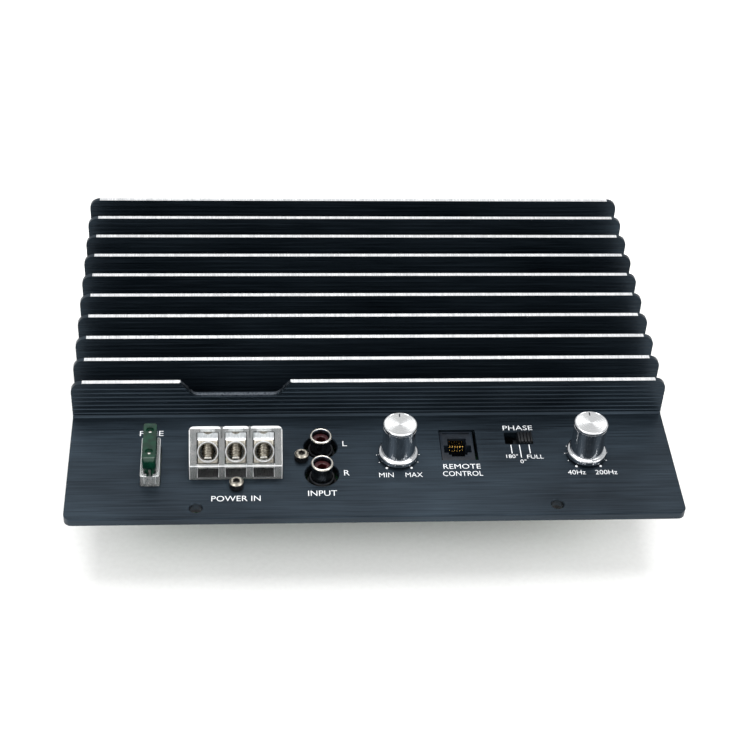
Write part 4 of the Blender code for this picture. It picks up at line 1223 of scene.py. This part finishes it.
def make_panel_screw(number):
    """Socket-head cap screw: knurled head with a broken rim, hexagon socket and threaded shank."""
    name = f"panel_screw_{number}"
    low, high = panel_box(name)
    x, y = panel_centre(name).xy
    seat = high.z - 3.0
    radius = (high.x - low.x) / 2
    knurls = 36
    outline = []
    for k in range(knurls * 2):
        angle = math.tau * k / (knurls * 2)
        reach = radius - (0.1 if k % 2 else 0.0)
        outline.append((reach * math.cos(angle), reach * math.sin(angle)))
    head = prism(outline, seat, high.z - 0.55)
    brim = radius - 0.12
    crown = [(0, high.z), (radius - 0.65, high.z), (brim, high.z - 0.5)]
    crown += [(brim, high.z - 0.7), (0, high.z - 0.7)]
    head = combined(head, lathe(crown, 48), "UNION")
    head = cut(head, rod(radius * 0.54, high.z - 1.7, high.z + 1, 6))
    shank = together(rod(1.3, low.z, seat + 0.2, 32, 0.2), ridge(1.3, 1.5, 0.5, low.z + 0.3, seat - 0.6))
    screw = piece(name + "_capped", placed(together(head, shank), (x, y, 0)), BLACK_STEEL, [name])
    # Painted highlight: the head's rim and upward faces, the socket's floor among them, take the bright
    # nickel.
    paint(screw, DULL_NICKEL_AND_HIGHLIGHT, lambda at, n: at.z > high.z - 0.5 or (n.z > 0.9 and at.z > seat + 1))


# ---------------------------------------------------------------- gasket, board and small parts

BOARD_LOW, BOARD_HIGH = panel_box("circuit_board")
STANDOFF_NAMES = [f"standoff_{i}" for i in range(1, 6)]
PIN_PITCH = 2.54
LEG_XS = (-PIN_PITCH, 0, PIN_PITCH)


def make_gasket():
    """Foam frame with mitred-looking corners rounded inside, punched for the four screws."""
    low, high = panel_box("gasket")
    frame_wide = 8.5
    body = block(tuple(low), tuple(high), 0.6, soft=0.15)
    window_low = (low.x + frame_wide, low.y + frame_wide, low.z - 1)
    window_high = (high.x - frame_wide, high.y - frame_wide, high.z + 1)
    body = cut(body, block(window_low, window_high, 6.0, segments=8))
    holes = [placed(rod(2.7, low.z - 1, high.z + 1, 32), (x, y, 0)) for x, y in MOUNT_SPOTS]
    piece("gasket_foam", combined(body, together(*holes)), FOAM, ["gasket"])


def make_board():
    body = block(tuple(BOARD_LOW), tuple(BOARD_HIGH), 2.0, soft=0.12)
    holes = []
    for name in STANDOFF_NAMES:
        x, y = panel_centre(name).xy
        holes.append(placed(rod(1.8, BOARD_LOW.z - 1, BOARD_HIGH.z + 1, 32), (x, y, 0)))
    body = combined(body, together(*holes))
    piece("board_laminate", body, BOARD, ["circuit_board"])
    make_solder()


def make_solder():
    """Domed joints under the board, below every part that is soldered in, and rings at the screws."""
    under = BOARD_LOW.z
    spots = []
    for x in cell_xs():
        spots += [(x - 2, 27), (x + 2, 27), (x - 2, 33), (x + 2, 33)]
    for name in ("gain_pot", "filter_pot"):
        centre = panel_centre(name)
        spots += [(centre.x + dx, centre.y - 7.5) for dx in (-5, 0, 5)]
    jack = panel_centre("remote_jack")
    spots += [(jack.x + (i - 2.5) * 1.8, 47.5 + 2 * (i % 2)) for i in range(6)]
    switch = panel_centre("phase_switch")
    spots += [(switch.x + 3 * i, switch.y + dy) for i in (-2, -1, 0, 1, 2) for dy in (-2.5, 2.5)]
    for side in ("left", "right"):
        centre = panel_centre(f"rca_base_{side}")
        spots += [(centre.x - 3, centre.y), (centre.x + 3, centre.y)]
    for i in range(1, 5):
        centre = panel_centre(f"power_transistor_{i}")
        spots += [(centre.x + dx, panel_box(f"power_transistor_{i}")[0].y + 0.3) for dx in LEG_XS]
    fuse = panel_centre("fuse_holder")
    spots += [(fuse.x + dx, fuse.y + dy) for dx in (-1.5, 1.5) for dy in (-5.8, 5.8)]
    shapes = []
    for x, y in spots:
        cone = [(0, 0.9), (0.35, 0.85), (0.5, 0.4), (1.0, 0.0), (0, 0.0)]
        shapes.append(placed(lathe(cone, 14), (x, y, under), (180, 0, 0)))
    for name in STANDOFF_NAMES:
        x, y = panel_centre(name).xy
        shapes.append(placed(lathe([(3.4, 0.04), (3.4, 0), (1.9, 0), (1.9, 0.04)], 40), (x, y, under - 0.04)))
    piece("board_solder", together(*shapes), TIN, rides_like="circuit_board")


def make_standoffs():
    for number, name in enumerate(STANDOFF_NAMES, 1):
        low, high = panel_box(name)
        x, y = panel_centre(name).xy
        radius = (high.x - low.x) / 2
        wall = [(radius - 0.25, high.z), (radius, high.z - 0.25)]
        wall += [(radius, low.z + 0.25), (radius - 0.25, low.z)]
        wall += [(2.0, low.z), (1.8, low.z + 0.2), (1.8, high.z - 0.2), (2.0, high.z)]
        piece(f"standoff_turned_{number}", placed(lathe(wall, 48), (x, y, 0)), ZINC, [name])


def pan_head_screw(name):
    """Cross-recess pan-head screw, head down, filling the frame's own screw."""
    low, high = panel_box(name)
    x, y = panel_centre(name).xy
    radius = (high.x - low.x) / 2
    head = 1.7
    dome = [(0, 0), (radius * 0.45, 0.05), (radius * 0.75, 0.25), (radius * 0.93, 0.65)]
    dome += [(radius, 1.15), (radius, head), (0, head)]
    body = lathe([(r, low.z + h) for r, h in reversed(dome)], 48)
    arm_low, arm_high = (-1.5, -0.3, low.z - 1), (1.5, 0.3, low.z + 1.0)
    arms = [placed(block(arm_low, arm_high), turn=(0, 0, turn)) for turn in (0, 90)]
    body = cut(body, *arms)
    shank = rod(1.2, low.z + head - 0.1, high.z, 32, 0.15)
    body = together(body, shank, ridge(1.2, 1.4, 0.5, low.z + head + 0.3, high.z - 0.5))
    piece(name + "_threaded", placed(body, (x, y, 0)), ZINC, [name])


WOUND_SHARE = 0.97


def wound_ring(name, turns, gauge, corner, hole):
    """A ring core wrapped in tape, with enamelled wire wound round it turn by turn. Gauge is a radius."""
    low, high = panel_box(name)
    x, y = panel_centre(name).xy
    outer = (high.x - low.x) / 2 - gauge
    inner = hole + gauge
    top, bottom = high.z - gauge, low.z + gauge
    section = arc((outer - corner, top - corner), corner, 90, 0, 4)
    section += arc((outer - corner, bottom + corner), corner, 0, -90, 4)
    section += arc((inner + corner, bottom + corner), corner, -90, -180, 4)
    section += arc((inner + corner, top - corner), corner, 180, 90, 4)
    count = len(section)
    route = []
    for i in range(turns * count + 1):
        radius, level = section[i % count]
        angle = math.tau * WOUND_SHARE * i / (turns * count)
        route.append((radius * math.cos(angle), radius * math.sin(angle), level))
    winding = placed(wire(route, gauge, 8), (x, y, 0))
    piece(name + "_winding", winding, COPPER, [name])
    core_section = []
    for radius, level in section:
        middle_radius, middle_level = (outer + inner) / 2, (top + bottom) / 2
        shrink = gauge * 0.8
        radius -= math.copysign(shrink, radius - middle_radius)
        level -= math.copysign(shrink, level - middle_level)
        core_section.append((radius, level))
    core = placed(lathe(core_section, 72), (x, y, 0))
    piece(name + "_core", core, TAPE, rides_like=name)


def make_capacitor(number):
    """Snap-in electrolytic: shrink sleeve with a pale stripe, over a can with a scored vent on its end."""
    name = f"filter_capacitor_{number}"
    low, high = panel_box(name)
    x, y = panel_centre(name).xy
    radius = (high.x - low.x) / 2
    sleeve = [(radius - 1.6, high.z), (radius - 0.4, high.z)]
    sleeve += arc((radius - 0.6, high.z - 0.6), 0.6, 60, 0, 3)
    sleeve += [(radius, high.z - 1.8), (radius - 0.5, high.z - 2.2)]
    sleeve += [(radius - 0.5, high.z - 2.7), (radius, high.z - 3.1)]
    sleeve += [(radius, low.z + 0.9)] + arc((radius - 0.8, low.z + 0.8), 0.8, -10, -90, 4)
    sleeve += [(radius - 1.5, low.z), (radius - 1.5, low.z + 0.25)]
    sleeve += [(radius - 0.9, low.z + 1.0), (radius - 0.9, high.z - 0.6)]
    can = piece(f"capacitor_sleeve_{number}", placed(lathe(sleeve, 72), (x, y, 0)), GLOSS_BLACK, [name])
    stripe = math.radians(70)

    def on_stripe(at, n):
        angle = math.atan2(at.y - y, at.x - x)
        return abs(angle + stripe) < 0.28 and abs(n.z) < 0.4

    paint(can, INK, on_stripe)
    end = rod(radius - 1.0, low.z + 0.35, high.z - 0.5, 64, 0.2)
    groove_low, groove_high = (0, -0.18, low.z - 1), (radius - 3.0, 0.18, low.z + 0.6)
    for turn in (0, 120, 240):
        end = cut(end, placed(block(groove_low, groove_high), turn=(0, 0, turn)))
    piece(f"capacitor_can_{number}", placed(end, (x, y, 0)), MACHINED_AND_HIGHLIGHT, rides_like=name)


def make_transistor(number):
    """Plastic power transistor: moulded body, tinned tab with its hole, three bent legs."""
    name = f"power_transistor_{number}"
    high = panel_box(name)[1]
    tab_length = 9.4
    x, y = panel_centre(name).x, high.y - tab_length
    top = high.z
    body = block((-5, y - 6.2, top - 4.4), (5, y + 3.4, top - 0.2), soft=0.35)
    piece(f"transistor_body_{number}", placed(body, (x, 0, 0)), EPOXY, [name])
    tab = block((-5, y + 2.0, top - 1.3), (5, y + tab_length, top), 0.8, soft=0.1)
    tab = cut(tab, placed(rod(1.8, top - 3, top + 1, 32), (0, y + 6.6, 0)))
    shapes = [tab]
    for leg_x in LEG_XS:
        route = [(leg_x, y - 6.0, top - 2.85), (leg_x, y - 8.8, top - 2.85), (leg_x, y - 9.3, top - 3.0)]
        route += [(leg_x, y - 9.5, top - 3.5), (leg_x, y - 9.5, BOARD_HIGH.z)]
        shapes.append(wire(route, 0.35, 8))
    piece(f"transistor_tab_{number}", placed(together(*shapes), (x, 0, 0)), TIN, rides_like=name)


def make_transistor_clamp():
    """Spring bar under the transistors and the thermal pad over them, held by two screws."""
    pad_low, pad_high = panel_box("thermal_pad")
    bar_low, bar_high = panel_box("clamp_bar")
    bar = block(tuple(bar_low), tuple(bar_high), 1.0, soft=0.15)
    pad = block(tuple(pad_low), tuple(pad_high), 0.8)
    for number in (1, 2):
        x, y = panel_centre(f"clamp_bar_screw_{number}").xy
        bar = cut(bar, placed(rod(1.8, bar_low.z - 1, bar_high.z + 1, 32), (x, y, 0)))
        pad = cut(pad, placed(rod(2.0, pad_low.z - 1, pad_high.z + 1, 32), (x, y, 0)))
        pan_head_screw(f"clamp_bar_screw_{number}")
    piece("clamp_bar_pressed", bar, ZINC, ["clamp_bar"])
    piece("thermal_pad_sheet", pad, SILICONE, ["thermal_pad"])


def make_speaker_connector():
    """Shrouded two-way header with keyed walls and square pins."""
    low, high = panel_box("speaker_connector")
    x, y = panel_centre("speaker_connector").xy
    body = slab(6, 4, low.z, high.z, 0.5, soft=0.15)
    key = block((-1.2, 2, low.z - 1), (1.2, 5, low.z + 5))
    body = cut(body, slab(5, 3, low.z - 1, high.z - 2, 0.3), key)
    piece("speaker_header", placed(body, (x, y, 0)), WHITE, ["speaker_connector"])
    pins = []
    for side in (-2.5, 2.5):
        pins.append(block((side - 0.6, -0.6, low.z + 2), (side + 0.6, 0.6, high.z - 1), soft=0.2))
    piece("speaker_header_pins", placed(together(*pins), (x, y, 0)), TIN, rides_like="speaker_connector")


def hanging(shape, x, y, turn=0):
    """A shape drawn standing on height 0, hung under the board."""
    return placed(placed(shape, turn=(180, 0, turn)), (x, y, BOARD_LOW.z))


def make_small_parts():
    """Small components under the board, clear of the tall ones. Resistors stand a little out of line."""
    dice = random.Random(12)
    cans, sleeves, films, chips, legs, bodies = [], [], [], [], [], []
    for x, y, radius, tall in (
        (-60, 70, 4.0, 12), (-50, 70, 4.0, 12), (-60, 140, 5.0, 14), (-46, 140, 5.0, 14),
        (30, 150, 4.0, 12), (30, 138, 4.0, 12), (10, 60, 2.5, 7), (18, 60, 2.5, 7), (40, 30, 2.5, 7),
        (-2, 30, 2.5, 7), (60, 30, 2.5, 7), (-68, 90, 3.2, 10),
    ):
        skin = [(0.3, tall), (radius - 0.3, tall), (radius, tall - 0.4), (radius, 1.6), (radius - 0.3, 1.3)]
        skin += [(radius, 1.0), (radius - 0.2, 0.1), (0.3, 0.1)]
        sleeves.append(hanging(lathe(skin, 36), x, y))
        cans.append(hanging(rod(radius - 0.8, tall - 0.3, tall + 0.02, 32), x, y))
    for x, y, turn in ((-10, 140, 0), (-10, 126, 0), (48, 110, 90), (0, 76, 0), (30, 76, 0), (-36, 76, 90)):
        films.append(hanging(slab(5, 2.5, 0.4, 8.5, 0.6, soft=0.4), x, y, turn))
    for x, y, turn in ((20, 40, 0), (48, 40, 0), (-5, 50, 0), (-30, 110, 90), (20, 110, 90)):
        chip = slab(4.8, 3.2, 0.5, 3.8, soft=0.25)
        chip = cut(chip, placed(rod(0.6, 3.3, 5, 24), (-4.8, 0, 0)))
        chips.append(hanging(chip, x, y, turn))
        for k in range(4):
            for side in (-1, 1):
                leg = slab(0.25, 0.15, 0, 2.2)
                legs.append(hanging(placed(leg, ((k - 1.5) * PIN_PITCH, side * 3.6, 0)), x, y, turn))
    for k in range(26):
        column, row = k % 13, k // 13
        x, y = -66 + column * 8 + dice.uniform(-0.6, 0.6), 84 + row * 34 + dice.uniform(-0.5, 0.5)
        if abs(x) > 62 and row:
            continue
        barrel = [(0, 3.1), (0.75, 3.0), (0.95, 2.5), (0.8, 2.0)]
        barrel += [(radius, -height) for radius, height in reversed(barrel)]
        bodies.append(hanging(placed(lathe(barrel, 20), (0, 0, 1.1), (90, 0, 0)), x, y))
        lead = [(0, -5, 0), (0, -5, 0.8), (0, -4.7, 1.1), (0, 4.7, 1.1), (0, 5, 0.8), (0, 5, 0)]
        legs.append(hanging(wire(lead, 0.28, 6), x, y))
    groups = (
        ("board_capacitor_sleeves", sleeves, GLOSS_BLACK),
        ("board_capacitor_ends", cans, MACHINED_AND_HIGHLIGHT),
        ("board_film_capacitors", films, BLUE),
        ("board_chips", chips, EPOXY),
        ("board_leads", legs, TIN),
        ("board_resistors", bodies, RESISTOR),
    )
    for name, shapes, finish in groups:
        piece(name, together(*shapes), finish, rides_like="circuit_board")


make_heatsink()
make_legends()
make_gasket()
make_board()
make_standoffs()
for screw_index in range(1, 6):
    pan_head_screw(f"board_screw_{screw_index}")
wound_ring("power_transformer", turns=88, gauge=0.55, corner=3.4, hole=8.0)
wound_ring("output_inductor", turns=42, gauge=0.75, corner=2.2, hole=5.5)
for part_number in (1, 2):
    make_capacitor(part_number)
for part_number in range(1, 5):
    make_transistor(part_number)
make_transistor_clamp()
make_speaker_connector()
make_small_parts()
for knob_side in ("gain", "filter"):
    make_knob(knob_side)
make_terminal_housing()
for cell, cell_x in enumerate(cell_xs(), 1):
    make_wire_cage(cell, cell_x)
    make_clamp_screw(cell, cell_x)
make_fuse()
make_fuse_holder()
for rca_side in ("left", "right"):
    make_rca_socket(rca_side)
make_remote_jack()
make_phase_switch()
for screw_number in (1, 2):
    make_panel_screw(screw_number)


# ---------------------------------------------------------------- floor and lights


def make_floor():
    bm = bmesh.new()
    bmesh.ops.create_grid(bm, x_segments=2, y_segments=2, size=4.0)
    bm.transform(Matrix.Translation((0, 0, FLOOR_Z)))
    mesh = mesh_of(bm)
    mesh.materials.append(PALE_FLOOR)
    floor = bpy.data.objects.new("floor", mesh)
    bpy.context.scene.collection.objects.link(floor)


def soft_light(name, at, size, power):
    """A square soft box aimed at the middle of the panel."""
    data = bpy.data.lights.new(name, "AREA")
    data.shape = "SQUARE"
    data.size = size
    data.energy = power
    light = bpy.data.objects.new(name, data)
    light.location = at
    light.rotation_euler = (Vector((0, 0, 0.04)) - Vector(at)).to_track_quat("-Z", "Y").to_euler()
    bpy.context.scene.collection.objects.link(light)


def make_studio():
    world = bpy.data.worlds.new("studio")
    world.use_nodes = True
    backdrop = world.node_tree.nodes["Background"]
    backdrop.inputs["Color"].default_value = linear("#ffffff")
    backdrop.inputs["Strength"].default_value = 0.85
    bpy.context.scene.world = world
    soft_light("overhead", (0.0, 0.1, 1.2), 0.9, 12.0)
    soft_light("front_left", (-0.8, -0.8, 0.8), 0.6, 6.0)
    soft_light("front_right", (0.9, -0.6, 0.7), 0.6, 5.0)
    bpy.context.scene.view_settings.view_transform = "Standard"


make_floor()
make_studio()
